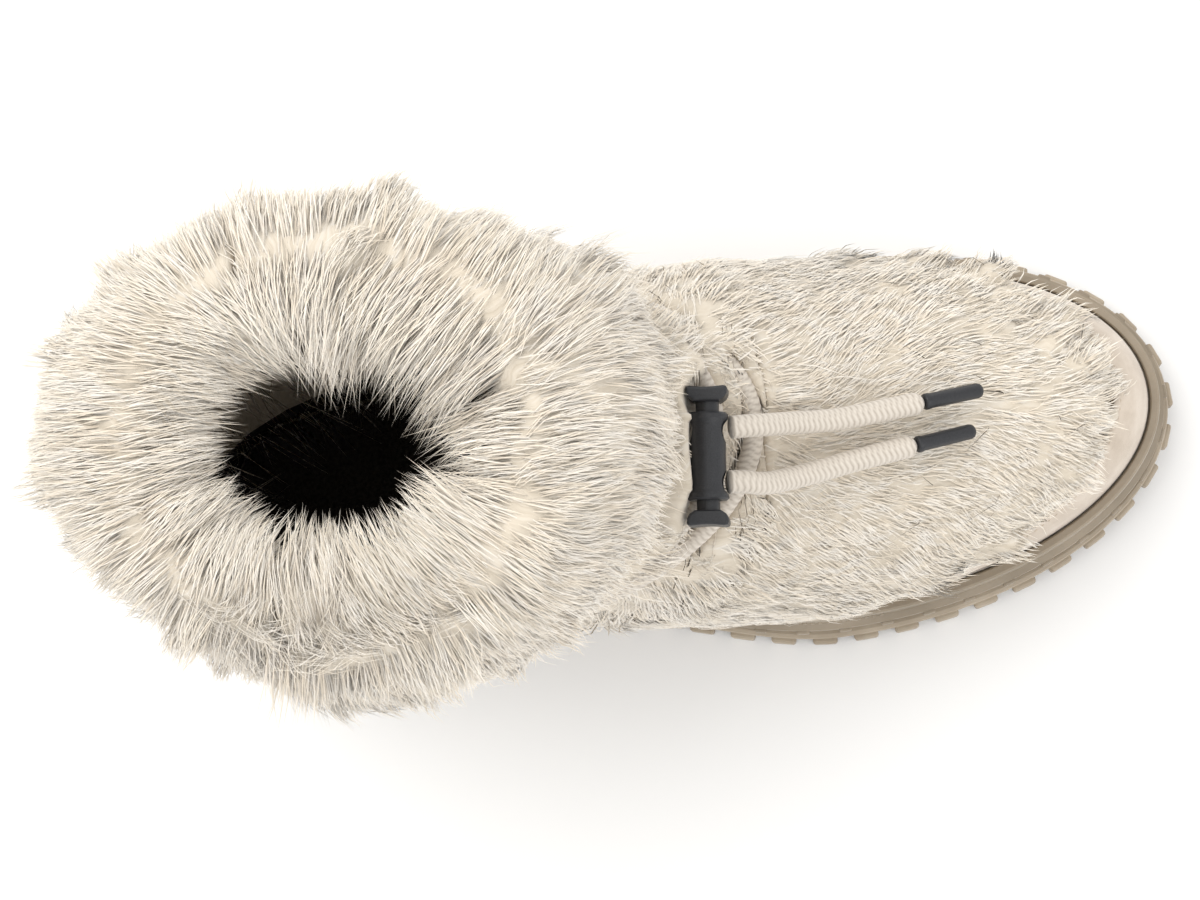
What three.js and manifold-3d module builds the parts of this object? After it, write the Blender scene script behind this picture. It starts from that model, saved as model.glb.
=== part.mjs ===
// Winter boot for the right foot: a fur ankle boot on a lugged cup sole, with a thick fur cuff,
// a suede mudguard round the toe, and a drawcord that runs twice round the ankle through a cord lock.
// Millimetres. +X points to the toe, +Y to the inner side of the foot, +Z up.
// The origin is the middle of the heel's tread, on the floor.
import * as THREE from "three";
import { mergeVertices } from "three/addons/utils/BufferGeometryUtils.js";
import Module from "manifold-3d";

const wasm = await Module();
wasm.setup();

// Clearance between pieces that touch
const GAP = 0.3;

// Large pieces drop the slivers that their cuts leave, up to this deviation
const FINE = 0.04;

// Steps round the plans and the rings
const TOE_STEPS = 7;
const SIDE_STEPS = 4;
const HEEL_STEPS = 4;
const SHAFT_STEPS = 28;
const CUFF_STEPS = 30;
const ROLL_STEPS = 20;
const LINE_STEPS = 24;

// Plan of the outsole: half widths to the inner and outer side, and where they lie
const SOLE_LENGTH = 280;
const HEEL_BACK = 38;
const HEEL_HALF_WIDTH = 38;
const WAIST_INNER = 40;
const WAIST_OUTER = 41;
const WAIST_AT = 66;
const BALL_INNER = 51;
const BALL_OUTER = 56;
const BALL_INNER_AT = 158;
const BALL_OUTER_AT = 141;
const FLANGE = 6.6;
const FLANGE_AT_BALL = 1.2;
const FLANGE_TUCK = 3.6;

// Heights of the sole
const LUG_DEPTH = 5;
const PLATE_THICK = 5;
const HEEL_SEAT = 32;
const BALL_SEAT = 26;
const TOE_SPRING = 7;
const SPRING_FROM = 168;
const LIP_HEIGHT = 2;
const LUG_PITCH = 12;
const LUG_WIDTH = 7;
const LUG_PROUD = 1.4;
const TOOTH_WIDTH = 3.6;
const TOOTH_PROUD = 1.7;

// Upper: the lasted shell, its mudguard and the fur on it
const WALL = 2.6;
const SUEDE = 1.3;
const INSTEP_HEIGHT = 110;
const SPINE_FRONT = 0.82;
const SHAFT_TOP = 186;
const SHAFT_CENTRE = 32;
const SHAFT_HALF_LENGTH = 55;
const SHAFT_HALF_WIDTH = 44;
const INSOLE_THICK = 4;
const PILE = 7;
const PILE_AT_EDGE = 2.6;
const PILE_RISE = 14;
const PILE_FILL = 6;
const GUARD_AT_TOE = 24;
const GUARD_AT_SIDE = 7;
const GUARD_BACK = 92;

// Cuff
const CUFF_BOTTOM = 127;
const CUFF_TOP = 199;
const CUFF_REACH = 76;
const CUFF_INWARD = 18;
const CUFF_SEAM_AT = 14;
const SEAM_DEPTH = 9;
const SEAM_WIDTH = 9;
const TUFT_WIDTH = 15;
const ANKLE_UNDER_CUFF = 12;

// Drawcord and its lock. A turn of the cord rises and falls from its front to its back.
const CORD_WIDTH = 7;
const CORD_THICK = 5.4;
const CORD_STEPS = 50;
const UPPER_RING_FRONT = 118;
const UPPER_RING_BACK = -37.5;
const UPPER_RING_HALF = 46.5;
const UPPER_RING_FALL = 1;
const LOWER_RING_FRONT = 127.5;
const LOWER_RING_BACK = -39.5;
const LOWER_RING_HALF = 44.5;
const LOWER_RING_DROP = 9;
const LOWER_RING_FALL = 7;
const COURSE_START = -0.42;
const COURSE_END = -0.02;
const CROSSING = 0.1;
const TIP_RADIUS = 2.2;
const TIP_LENGTH = 17.5;
const LOCK_RADIUS = 4.8;
const LOCK_FLARE = 1.12;
const LOCK_BODY = 22.4;
const LOCK_HEIGHT = 122;
const LOCK_FORWARD = 115.5;
const LOCK_ASIDE = -10.5;
const LOCK_TURN = -0.12;
const HOLE_INSET = 0.8;
const BORE_DEPTH = 6.5;
const BORE_RADIUS = 3.1;
const STEM_RADIUS = 3.02;
const BUTTON_TRAVEL = 2.2;
const BUTTON_THICK = 4;
const BUTTON_WIDTH = 10.8;

const TOE_X = SOLE_LENGTH - HEEL_BACK;
const clamp = THREE.MathUtils.clamp;
const lerp = THREE.MathUtils.lerp;
const smooth = (x, from, to) => THREE.MathUtils.smoothstep(x, from, to);
const V = (x, y, z) => new THREE.Vector3(x, y, z);

// The value of a column of a table at a place in its first column, on a smooth curve through the rows.
function tableValue(rows, key, place, at) {
  const last = rows.length - 1;
  if (at <= rows[0][key]) return rows[0][place];
  if (at >= rows[last][key]) return rows[last][place];
  const i = rows.findIndex((row) => row[key] > at) - 1;
  const before = rows[Math.max(i - 1, 0)];
  const [a, b] = [rows[i], rows[i + 1]];
  const after = rows[Math.min(i + 2, last)];
  const span = b[key] - a[key];
  const t = (at - a[key]) / span;
  const slopeA = (b[place] - before[place]) / (b[key] - before[key]);
  const slopeB = (after[place] - a[place]) / (after[key] - a[key]);
  const t2 = t * t;
  const t3 = t2 * t;
  return (
    (2 * t3 - 3 * t2 + 1) * a[place] +
    (t3 - 2 * t2 + t) * span * slopeA +
    (3 * t2 - 2 * t3) * b[place] +
    (t3 - t2) * span * slopeB
  );
}

// Solids

function solidFrom(vertices, triangles) {
  const make = (tris) =>
    new wasm.Manifold(
      new wasm.Mesh({
        numProp: 3,
        vertProperties: Float32Array.from(vertices.flatMap((p) => [p.x, p.y, p.z])),
        triVerts: Uint32Array.from(tris.flat()),
      }),
    );
  const made = make(triangles);
  return made.volume() > 0 ? made : make(triangles.map(([a, b, c]) => [a, c, b]));
}

function solidOf(geometry) {
  const bare = geometry.clone();
  bare.deleteAttribute("normal");
  bare.deleteAttribute("uv");
  const merged = mergeVertices(bare, 1e-4);
  const position = merged.getAttribute("position");
  const vertices = Array.from({ length: position.count }, (_, i) =>
    new THREE.Vector3().fromBufferAttribute(position, i),
  );
  const index = merged.index.array;
  const triangles = [];
  for (let i = 0; i < index.length; i += 3) {
    const [a, b, c] = [index[i], index[i + 1], index[i + 2]];
    if (a !== b && b !== c && c !== a) triangles.push([a, b, c]);
  }
  return solidFrom(vertices, triangles);
}

// A skin over rings of equal count. An open loft is capped across each end ring, from side to side.
function loft(rings, closed = false) {
  const n = rings[0].length;
  const vertices = rings.flat();
  const triangles = [];
  const steps = closed ? rings.length : rings.length - 1;
  for (let k = 0; k < steps; k++) {
    const [low, high] = [k * n, ((k + 1) % rings.length) * n];
    for (let i = 0; i < n; i++) {
      const j = (i + 1) % n;
      triangles.push([low + i, low + j, high + j], [low + i, high + j, high + i]);
    }
  }
  const cap = (base, flip) => {
    for (let i = 0; i < n / 2; i++) {
      const [a, b, c, d] = [i, i + 1, (n - i) % n, (n - i - 1) % n].map((v) => base + v);
      if (a !== c) triangles.push(flip ? [a, c, b] : [a, b, c]);
      if (b !== d) triangles.push(flip ? [b, c, d] : [b, d, c]);
    }
  };
  if (!closed) {
    cap(0, true);
    cap((rings.length - 1) * n, false);
  }
  return solidFrom(vertices, triangles);
}

// A polygon in the side view, given as [x, z] corners, as wide as the boot and more
function sidePrism(corners, halfWidth = SOLE_LENGTH / 2) {
  const shape = new THREE.Shape(corners.map(([x, z]) => new THREE.Vector2(x, z)));
  const slab = new THREE.ExtrudeGeometry(shape, { depth: 2 * halfWidth, bevelEnabled: false });
  slab.rotateX(Math.PI / 2).translate(0, halfWidth, 0);
  return solidOf(slab);
}

// A polygon in the plan, given as [x, y] corners
function planPrism(corners, bottom, top) {
  const shape = new THREE.Shape(corners.map(([x, y]) => new THREE.Vector2(x, y)));
  const slab = new THREE.ExtrudeGeometry(shape, { depth: top - bottom, bevelEnabled: false });
  slab.translate(0, 0, bottom);
  return solidOf(slab);
}

// Everything between the floor and a line in the side view
function below(line, drop = SOLE_LENGTH) {
  const stations = Array.from({ length: LINE_STEPS + 1 }, (_, i) =>
    lerp(-2 * HEEL_BACK, TOE_X + HEEL_BACK, i / LINE_STEPS),
  );
  return sidePrism([
    [stations[0], -drop],
    [stations[LINE_STEPS], -drop],
    ...stations.map((x) => [x, line(x)]).reverse(),
  ]);
}

// Plan outlines: from the toe tip along the inner side to the heel and back along the outer side

function outline(plan) {
  const side = (sign, ball, ballAt, waist) => {
    const halfWidth = (x) =>
      x < plan.waistAt
        ? lerp(plan.heelHalf, waist, smooth(x, 0, plan.waistAt))
        : lerp(waist, ball, smooth(x, plan.waistAt, ballAt));
    const points = [];
    for (let i = 0; i < TOE_STEPS; i++) {
      const a = ((i / TOE_STEPS) * Math.PI) / 2;
      points.push([ballAt + (plan.toe - ballAt) * Math.cos(a), ball * Math.sin(a)]);
    }
    for (let i = 0; i < SIDE_STEPS; i++) {
      const x = ballAt * (1 - i / SIDE_STEPS);
      points.push([x, halfWidth(x)]);
    }
    for (let i = 0; i <= HEEL_STEPS; i++) {
      const a = ((i / HEEL_STEPS) * Math.PI) / 2;
      points.push([-plan.heelBack * Math.sin(a), plan.heelHalf * Math.cos(a)]);
    }
    return points.map(([x, y]) => [x, sign * y]);
  };
  const inner = side(1, plan.ballInner, plan.ballInnerAt, plan.waistInner);
  const outer = side(-1, plan.ballOuter, plan.ballOuterAt, plan.waistOuter);
  return [...inner, ...outer.slice(1, -1).reverse()];
}

// The outsole's outline moved in: by the flange, less at the waist and more at the ball
function planInset(inset) {
  const waistInset = Math.max(inset - FLANGE_TUCK, 0) + (inset < FLANGE_TUCK ? inset * 0.4 : 0);
  return {
    toe: TOE_X - inset,
    heelBack: HEEL_BACK - inset,
    heelHalf: HEEL_HALF_WIDTH - inset,
    waistAt: WAIST_AT,
    waistInner: WAIST_INNER - waistInset,
    waistOuter: WAIST_OUTER - waistInset,
    ballInner: BALL_INNER - inset,
    ballOuter: BALL_OUTER - inset - FLANGE_AT_BALL * clamp(inset / FLANGE, 0, 1),
    ballInnerAt: BALL_INNER_AT,
    ballOuterAt: BALL_OUTER_AT + (FLANGE_AT_BALL * inset) / FLANGE,
  };
}

function offset(points, by) {
  const n = points.length;
  return points.map(([x, y], i) => {
    const [ax, ay] = points[(i + n - 1) % n];
    const [bx, by2] = points[(i + 1) % n];
    const length = Math.hypot(bx - ax, by2 - ay);
    return [x + (by * (by2 - ay)) / length, y - (by * (bx - ax)) / length];
  });
}

const outsolePlan = outline(planInset(0));
const featherPlan = outline(planInset(FLANGE));

// Heights along the boot

const spring = (x) => TOE_SPRING * clamp((x - SPRING_FROM) / (TOE_X - SPRING_FROM), 0, 2) ** 2;
const seat = (x) => lerp(HEEL_SEAT, BALL_SEAT, smooth(x, HEEL_BACK / 2, BALL_OUTER_AT)) + spring(x);
const plateTop = LUG_DEPTH + PLATE_THICK;

// Outsole: a plate with lugs under it, proud of its edge

function ringAt(points, height) {
  return points.map(([x, y]) => V(x, y, height + spring(x)));
}

// Places at an even pitch along a closed outline, each with its point and outward direction
function along(points, pitch) {
  const curve = new THREE.CatmullRomCurve3(points.map(([x, y]) => V(x, y, 0)), true);
  const count = Math.round(curve.getLength() / pitch);
  return Array.from({ length: count }, (_, i) => {
    const t = curve.getTangentAt(i / count);
    return { point: curve.getPointAt(i / count), out: V(t.y, -t.x, 0) };
  });
}

// A block that stands on the plan at a place, from the inside to the outside of its outline
function block(place, width, inside, outside, bottom, top, taper = 1) {
  const { point, out } = place;
  const sideways = V(-out.y, out.x, 0);
  const corner = (r, s, z) => {
    const p = point.clone().addScaledVector(out, r).addScaledVector(sideways, s);
    return V(p.x, p.y, z + spring(p.x));
  };
  const ring = (z, share) => [
    corner(outside * share, width / 2, z),
    corner(-inside, width / 2, z),
    corner(-inside, -width / 2, z),
    corner(outside * share, -width / 2, z),
  ];
  return loft([ring(bottom, taper), ring(top, 1)]);
}

function makeOutsole() {
  const plate = loft([
    ringAt(offset(outsolePlan, -1), LUG_DEPTH),
    ringAt(outsolePlan, plateTop - 1.5),
    ringAt(offset(outsolePlan, -0.8), plateTop),
  ]);
  const edgeLugs = along(outsolePlan, LUG_PITCH).map((place) =>
    block(place, LUG_WIDTH, 1.5 * LUG_WIDTH, LUG_PROUD, 0, plateTop - 2, 0.4),
  );
  // Chevrons across the middle of the tread, left out at the arch
  const arm = HEEL_HALF_WIDTH * 0.42;
  const bars = [];
  for (let x = -2 * LUG_PITCH; x < TOE_X - 3 * LUG_WIDTH; x += 2 * LUG_PITCH) {
    if (x > HEEL_BACK && x < WAIST_AT + LUG_PITCH) continue;
    for (const side of [-1, 1]) {
      const place = { point: V(x, side * (arm / 2 - 1), 0), out: V(0.9, side * 0.43, 0) };
      bars.push(block(place, arm, LUG_WIDTH / 2, LUG_WIDTH / 2, 0, LUG_DEPTH + 1));
    }
  }
  return wasm.Manifold.union([plate, ...edgeLugs, ...bars]);
}

// Midsole: a cup whose wall steps out from the lip over a ribbed band, a bead and a recess

const MIDSOLE_WALL = [
  { reach: 0.66, level: 0 },
  { reach: 0.62, level: 0.36 },
  { reach: 0.74, level: 0.42 },
  { reach: 0.72, level: 0.5 },
  { reach: 0.46, level: 0.56 },
  { reach: 0.4, level: 0.9 },
  { reach: 0.46, level: 0.97 },
];
const TOOTH_ROOT = MIDSOLE_WALL[1];

function makeMidsole() {
  const inner = offset(featherPlan, GAP);
  const bottom = plateTop + GAP;
  const between = (reach) =>
    inner.map(([x, y], i) => [lerp(x, outsolePlan[i][0], reach), lerp(y, outsolePlan[i][1], reach)]);
  // A level runs from the plate to the seat, and past it up the lip
  const ring = (points, level, lift = 0) =>
    points.map(([x, y]) => V(x, y, lerp(bottom + spring(x), seat(x), level) + lift));
  const rings = MIDSOLE_WALL.map((row) => ring(between(row.reach), row.level));
  rings.push(ring(between(0.4), 1, LIP_HEIGHT));
  rings.push(ring(between(0.02), 1, LIP_HEIGHT));
  rings.push(ring(inner, 1));
  const cup = loft(rings);

  // Teeth along the recess, from the waist forward
  const wallHeight = BALL_SEAT - bottom;
  const foot = bottom + wallHeight * 0.12;
  const head = bottom + wallHeight * 0.45;
  const teeth = along(between(TOOTH_ROOT.reach), LUG_PITCH)
    .filter(({ point }) => point.x > BALL_OUTER_AT / 2 + LUG_PITCH * 3)
    .map((place) => block(place, TOOTH_WIDTH, 1, TOOTH_PROUD, foot, head));
  return wasm.Manifold.union([cup, ...teeth]);
}

// Form of the lasted shell: a foot form and a shaft form, each moved out by an offset

// Ridge of the foot form: station from the heel centre as a share of the toe's distance,
// height as a share of the instep's height
const RIDGE = [
  { station: 0, height: 0.72 },
  { station: 0.2, height: 0.9 },
  { station: 0.42, height: 1.01 },
  { station: 0.467, height: 0.985 },
  { station: 0.504, height: 0.905 },
  { station: 0.545, height: 0.836 },
  { station: 0.6, height: 0.768 },
  { station: 0.661, height: 0.7 },
  { station: 0.723, height: 0.645 },
  { station: 0.785, height: 0.6 },
  { station: 0.85, height: 0.562 },
];
const ridge = (x) => INSTEP_HEIGHT * tableValue(RIDGE, "station", "height", x / TOE_X);

// Half of the foot's section, from the feather edge to the ridge: how far in, behind the ball and at the toe
const SECTION = [
  { side: 0, toe: 0, rise: 0 },
  { side: 0.015, toe: 0.04, rise: 0.28 },
  { side: 0.07, toe: 0.14, rise: 0.52 },
  { side: 0.19, toe: 0.31, rise: 0.73 },
  { side: 0.38, toe: 0.5, rise: 0.88 },
  { side: 0.64, toe: 0.72, rise: 0.97 },
  { side: 0.95, toe: 0.96, rise: 1 },
];
const shellPlan = offset(featherPlan, -SUEDE - GAP);

function spineOf(x) {
  const front = TOE_X * SPINE_FRONT;
  if (x < 0) return x * 0.1;
  if (x < BALL_INNER_AT) return x;
  return lerp(BALL_INNER_AT, front, (x - BALL_INNER_AT) / (TOE_X - BALL_INNER_AT));
}

// A point of the foot form over a point of the plan
function footPoint([x, y], row, by) {
  const spine = spineOf(x);
  const inward = lerp(row.side, row.toe, smooth(x, WAIST_AT * 1.6, BALL_INNER_AT * 1.2));
  return V(lerp(x, spine, inward), y * (1 - inward), lerp(seat(x), ridge(spine) + by, row.rise));
}

// Mudguard line: its height over the seat falls from the toe back along the sides
const guardLine = (x) =>
  seat(x) + lerp(GUARD_AT_SIDE, GUARD_AT_TOE, smooth(x, BALL_OUTER_AT * 0.8, TOE_X - FLANGE));

// Depth of the fur over the shell: thin next to the mudguard, and fuller in the hollow of the inner side
function pile(x, y, z) {
  const thin = smooth(x, GUARD_BACK, BALL_INNER_AT) * (1 - smooth(z - guardLine(x), 0, PILE_RISE));
  const hollow = y > 0 ? Math.exp(-(((x - GUARD_BACK) / (WAIST_AT * 0.6)) ** 2)) : 0;
  return lerp(PILE, PILE_AT_EDGE, thin) + PILE_FILL * hollow;
}

// The foot form moved out by an offset, or by one that depends on the place
function footForm(by) {
  const moved = offset(shellPlan, 1);
  const point = (i, row) => {
    const [x, y] = shellPlan[i];
    const far = typeof by === "function" ? by(x, y, footPoint([x, y], row, 0).z) : by;
    return footPoint([x + (moved[i][0] - x) * far, y + (moved[i][1] - y) * far], row, far);
  };
  const ring = (row) => shellPlan.map((_, i) => point(i, row));
  const sole = ring(SECTION[0]).map((p) => V(p.x, p.y, p.z - LUG_DEPTH));
  return loft([sole, ...SECTION.map(ring)]);
}

// Sections of the shaft: level from the heel seat to the top, half length and half width as shares
// of the shaft's own, and the centre's shift forward as a share of its half length
const SHAFT = [
  { level: 0.06, length: 1.27, width: 0.66, shift: 0.19 },
  { level: 0.25, length: 1.27, width: 0.75, shift: 0.17 },
  { level: 0.41, length: 1.23, width: 0.82, shift: 0.13 },
  { level: 0.54, length: 1.17, width: 0.88, shift: 0.1 },
  { level: 0.7, length: 1.06, width: 0.955, shift: 0.03 },
  { level: 0.86, length: 1.01, width: 0.99, shift: 0.005 },
  { level: 1, length: 1, width: 1, shift: 0 },
];
function shaftPoint(angle, level, by) {
  const value = (column) => tableValue(SHAFT, "level", column, level);
  const centre = SHAFT_CENTRE + SHAFT_HALF_LENGTH * value("shift");
  return V(
    centre + (SHAFT_HALF_LENGTH * value("length") + by) * Math.cos(angle),
    (SHAFT_HALF_WIDTH * value("width") + by) * Math.sin(angle),
    lerp(HEEL_SEAT, SHAFT_TOP, level),
  );
}

function shaftForm(by, rise = 0) {
  const rings = SHAFT.map(({ level }) =>
    Array.from({ length: SHAFT_STEPS }, (_, i) => shaftPoint((i / SHAFT_STEPS) * 2 * Math.PI, level, by)),
  );
  if (rise) rings.push(rings.at(-1).map((p) => V(p.x, p.y, p.z + rise)));
  return loft(rings);
}

const form = (by, rise = 0) => footForm(by).add(shaftForm(by, rise));
const furForm = () => footForm(pile).add(shaftForm(PILE));
const aboveSeat = (solid, lift) => solid.subtract(below((x) => seat(x) + lift));

function makeUpper() {
  return aboveSeat(form(0).subtract(form(-WALL, 2 * CORD_WIDTH)), GAP);
}

function makeInsole() {
  const plan = offset(shellPlan, -WALL - 1.5);
  const ring = (lift, by) => offset(plan, by).map(([x, y]) => V(x, y, seat(x) + lift));
  return loft([ring(GAP, -1), ring(INSOLE_THICK, 0), ring(INSOLE_THICK + 0.8, -2)]);
}

function makeMudguard() {
  const layer = aboveSeat(form(SUEDE + GAP).subtract(form(GAP)), GAP);
  const region = sidePrism([
    [GUARD_BACK, 0],
    [TOE_X, 0],
    ...Array.from({ length: 17 }, (_, i) => {
      const x = lerp(TOE_X, GUARD_BACK, i / 16);
      return [x, guardLine(x) - GAP];
    }),
  ]);
  return layer.intersect(region);
}

const biggest = (solid) => solid.decompose().reduce((a, b) => (a.volume() > b.volume() ? a : b));

// Fur: a layer on the shell, with tapered tufts fused on. A tuft hugs the surface that `at` gives for two
// numbers, from one place on it to another, with its tip a little clear.
function tuft(at, from, to, inside, width) {
  const place = (share) => at(lerp(from[0], to[0], share), lerp(from[1], to[1], share));
  const [root, middle, tip] = [0, 0.45, 1].map(place);
  const flow = tip.clone().sub(root).normalize();
  const sideways = middle.clone().sub(inside).cross(flow).normalize();
  const out = flow.clone().cross(sideways);
  const ring = (centre, across, over) => [
    centre.clone().addScaledVector(sideways, across),
    centre.clone().addScaledVector(out, over),
    centre.clone().addScaledVector(sideways, -across),
    centre.clone().addScaledVector(out, -0.3 * width),
  ];
  const point = tip.clone().addScaledVector(out, 0.14 * width);
  const base = ring(root, 0.3 * width, 0.05 * width);
  const belly = ring(middle, 0.5 * width, 0.26 * width);
  const vertices = [...base, ...belly, point];
  const triangles = [
    [0, 1, 2],
    [0, 2, 3],
  ];
  for (let i = 0; i < 4; i++) {
    const j = (i + 1) % 4;
    triangles.push([i, 4 + j, j], [i, 4 + i, 4 + j], [4 + i, 8, 4 + j]);
  }
  return solidFrom(vertices, triangles);
}

// Ankle rings: the drawcord's two turns, on the fur. Each is an oval whose front and back have their own
// height, and the upper one passes under the lock.
const underLock = LOCK_HEIGHT - LOCK_RADIUS * LOCK_FLARE - CORD_WIDTH / 2 - GAP;
const RINGS = {
  upper: {
    front: UPPER_RING_FRONT,
    back: UPPER_RING_BACK,
    half: UPPER_RING_HALF,
    frontHeight: underLock,
    backHeight: underLock - UPPER_RING_FALL,
  },
  lower: {
    front: LOWER_RING_FRONT,
    back: LOWER_RING_BACK,
    half: LOWER_RING_HALF,
    frontHeight: underLock - LOWER_RING_DROP,
    backHeight: underLock - LOWER_RING_DROP - LOWER_RING_FALL,
  },
};

function ringPoint({ front, back, half, frontHeight, backHeight }, angle) {
  const share = (1 + Math.cos(angle)) / 2;
  return V(
    lerp(back, front, share),
    half * Math.sin(angle) * (1 + 0.08 * Math.sin(angle) ** 2 * Math.cos(angle)),
    lerp(backHeight, frontHeight, share),
  );
}

// The drawcord's course, twice round the ankle: from the lock's outer hole at turn 0 to its inner hole at
// turn 2. It changes rings behind the heel, where the second pass crosses outside the first.
function cordPoint(turn) {
  const angle = lerp(COURSE_START, COURSE_END - 4 * Math.PI, turn / 2);
  const low = smooth(turn, 0.5 - CROSSING, 0.5 + CROSSING) - smooth(turn, 1.5 - CROSSING, 1.5 + CROSSING);
  const point = ringPoint(RINGS.upper, angle).lerp(ringPoint(RINGS.lower, angle), low);
  const over = CORD_THICK * Math.exp(-(((turn - 1.5) / CROSSING) ** 2));
  const away = V(point.x - SHAFT_CENTRE, point.y, 0).normalize();
  return point.addScaledVector(away, over);
}

// A tube of an oval section along a list of points: wide across the way, thin away from the boot
function cordTube(points, width, thick, sides = 8) {
  const curve = new THREE.CatmullRomCurve3(points, false, "centripetal");
  const steps = points.length - 1;
  const rings = [];
  const n = sides;
  for (let k = 0; k <= steps; k++) {
    const t = curve.getTangent(k / steps);
    const p = points[k];
    const away = p.clone().setComponent(2, 0).sub(V(SHAFT_CENTRE, 0, 0));
    away.addScaledVector(t, -away.dot(t)).normalize();
    const across = new THREE.Vector3().crossVectors(t, away);
    rings.push(
      Array.from({ length: n }, (_, i) => {
        const a = (i / n) * 2 * Math.PI;
        return p.clone()
          .addScaledVector(away, (Math.cos(a) * thick) / 2)
          .addScaledVector(across, (Math.sin(a) * width) / 2);
      }),
    );
  }
  return loft(rings);
}

const cordCourse = Array.from({ length: CORD_STEPS + 1 }, (_, i) => cordPoint((2 * i) / CORD_STEPS));
const drawcord = (extra, sides = 8) =>
  cordTube(cordCourse, CORD_WIDTH + 2 * extra, CORD_THICK + 2 * extra, sides);

// Cord lock: a barrel across the instep with a sprung button in each end
const lockCentre = V(LOCK_FORWARD, LOCK_ASIDE, LOCK_HEIGHT);
const cordHoles = [-1, 1].map((side) => side * (LOCK_BODY / 2 - CORD_WIDTH / 2 - HOLE_INSET));

// From the lock's own frame, whose Y runs along the barrel and whose X points out of its cord holes
const lockFrame = new THREE.Matrix4().makeRotationZ(LOCK_TURN).setPosition(lockCentre);
const placed = (geometry) => solidOf(geometry.applyMatrix4(lockFrame));

function makeLockBarrel() {
  const flare = LOCK_RADIUS * LOCK_FLARE;
  const half = LOCK_BODY / 2;
  const profile = [
    [0, -half + BORE_DEPTH],
    [BORE_RADIUS, -half + BORE_DEPTH],
    [BORE_RADIUS, -half],
    [flare - 0.7, -half],
    [flare, -half + 0.8],
    [LOCK_RADIUS, -half + 4],
    [LOCK_RADIUS, half - 4],
    [flare, half - 0.8],
    [flare - 0.7, half],
    [BORE_RADIUS, half],
    [BORE_RADIUS, half - BORE_DEPTH],
    [0, half - BORE_DEPTH],
  ].map(([r, y]) => new THREE.Vector2(r, y));
  const barrel = placed(new THREE.LatheGeometry(profile, 16));
  const holes = cordHoles.map((y) =>
    placed(
      new THREE.CylinderGeometry(CORD_THICK / 2 + GAP, CORD_THICK / 2 + GAP, 4 * LOCK_RADIUS, 10)
        .rotateZ(Math.PI / 2)
        .scale(1, (CORD_WIDTH - 1) / CORD_THICK, 1)
        .translate(0, y, 0),
    ),
  );
  return holes.reduce((solid, hole) => solid.subtract(hole), barrel);
}

// A button: a stem in the barrel's bore and a wide curved head
function makeButton(side) {
  const half = LOCK_BODY / 2;
  const neck = half + BUTTON_TRAVEL + 0.5;
  const stemLength = neck - half + 4;
  const stem = placed(
    new THREE.CylinderGeometry(STEM_RADIUS, STEM_RADIUS, stemLength, 16)
      .translate(0, side * (half - 3 + stemLength / 2 - 0.5), 0),
  );
  const w = BUTTON_WIDTH / 2;
  const head = new THREE.Shape();
  head.moveTo(-w * 0.62, 0);
  head.quadraticCurveTo(-w, BUTTON_THICK * 0.4, -w, BUTTON_THICK * 0.8);
  head.quadraticCurveTo(-w, BUTTON_THICK, -w * 0.75, BUTTON_THICK);
  head.lineTo(w * 0.75, BUTTON_THICK);
  head.quadraticCurveTo(w, BUTTON_THICK, w, BUTTON_THICK * 0.8);
  head.quadraticCurveTo(w, BUTTON_THICK * 0.4, w * 0.62, 0);
  const depth = LOCK_RADIUS * 1.9;
  const slab = new THREE.ExtrudeGeometry(head, { depth, bevelEnabled: false, curveSegments: 4 })
    .translate(0, 0, -LOCK_RADIUS * 0.95)
    .rotateX(side > 0 ? 0 : Math.PI)
    .translate(0, side * neck, 0);
  return stem.add(placed(slab));
}

// Free ends of the cord: out of the lock, over the upper turn and down the vamp. Points chosen by hand,
// in the boot's own frame.
const CORD_ENDS = {
  inner: [
    [122.4, -3.8, 121.4],
    [125, -3.8, 120.2],
    [130, -3.8, 116.5],
    [136, -3.6, 110.8],
    [142, -3.6, 106],
    [148, -3.5, 102.2],
    [154, -3, 99],
    [160, -2.3, 95.9],
    [166, -1.6, 92.9],
    [172, -0.9, 90.2],
  ],
  outer: [
    [120, -17.6, 121.6],
    [123.5, -17.9, 119.8],
    [128, -18.6, 115.5],
    [133.5, -18, 109.8],
    [139, -17, 105],
    [145, -15.8, 101.2],
    [151, -14.6, 98],
    [157, -13.6, 95],
    [163, -12.6, 92],
    [168.5, -11.8, 89.6],
  ],
};
const cordEnd = (name, extra = 0) => {
  const points = CORD_ENDS[name].map((p) => V(...p));
  const frames = points.map((p, i) => {
    const t = points[Math.min(i + 1, points.length - 1)].clone().sub(points[Math.max(i - 1, 0)]).normalize();
    return { p, across: new THREE.Vector3().crossVectors(V(0, 0, 1), t).normalize(), t };
  });
  const rings = frames.map(({ p, across, t }) => {
    const up = new THREE.Vector3().crossVectors(t, across);
    return Array.from({ length: 10 }, (_, i) => {
      const a = (i / 10) * 2 * Math.PI;
      return p.clone()
        .addScaledVector(up, (Math.cos(a) * (CORD_THICK + 2 * extra)) / 2)
        .addScaledVector(across, (Math.sin(a) * (CORD_WIDTH - 1 + 2 * extra)) / 2);
    });
  });
  return loft(rings);
};

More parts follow.
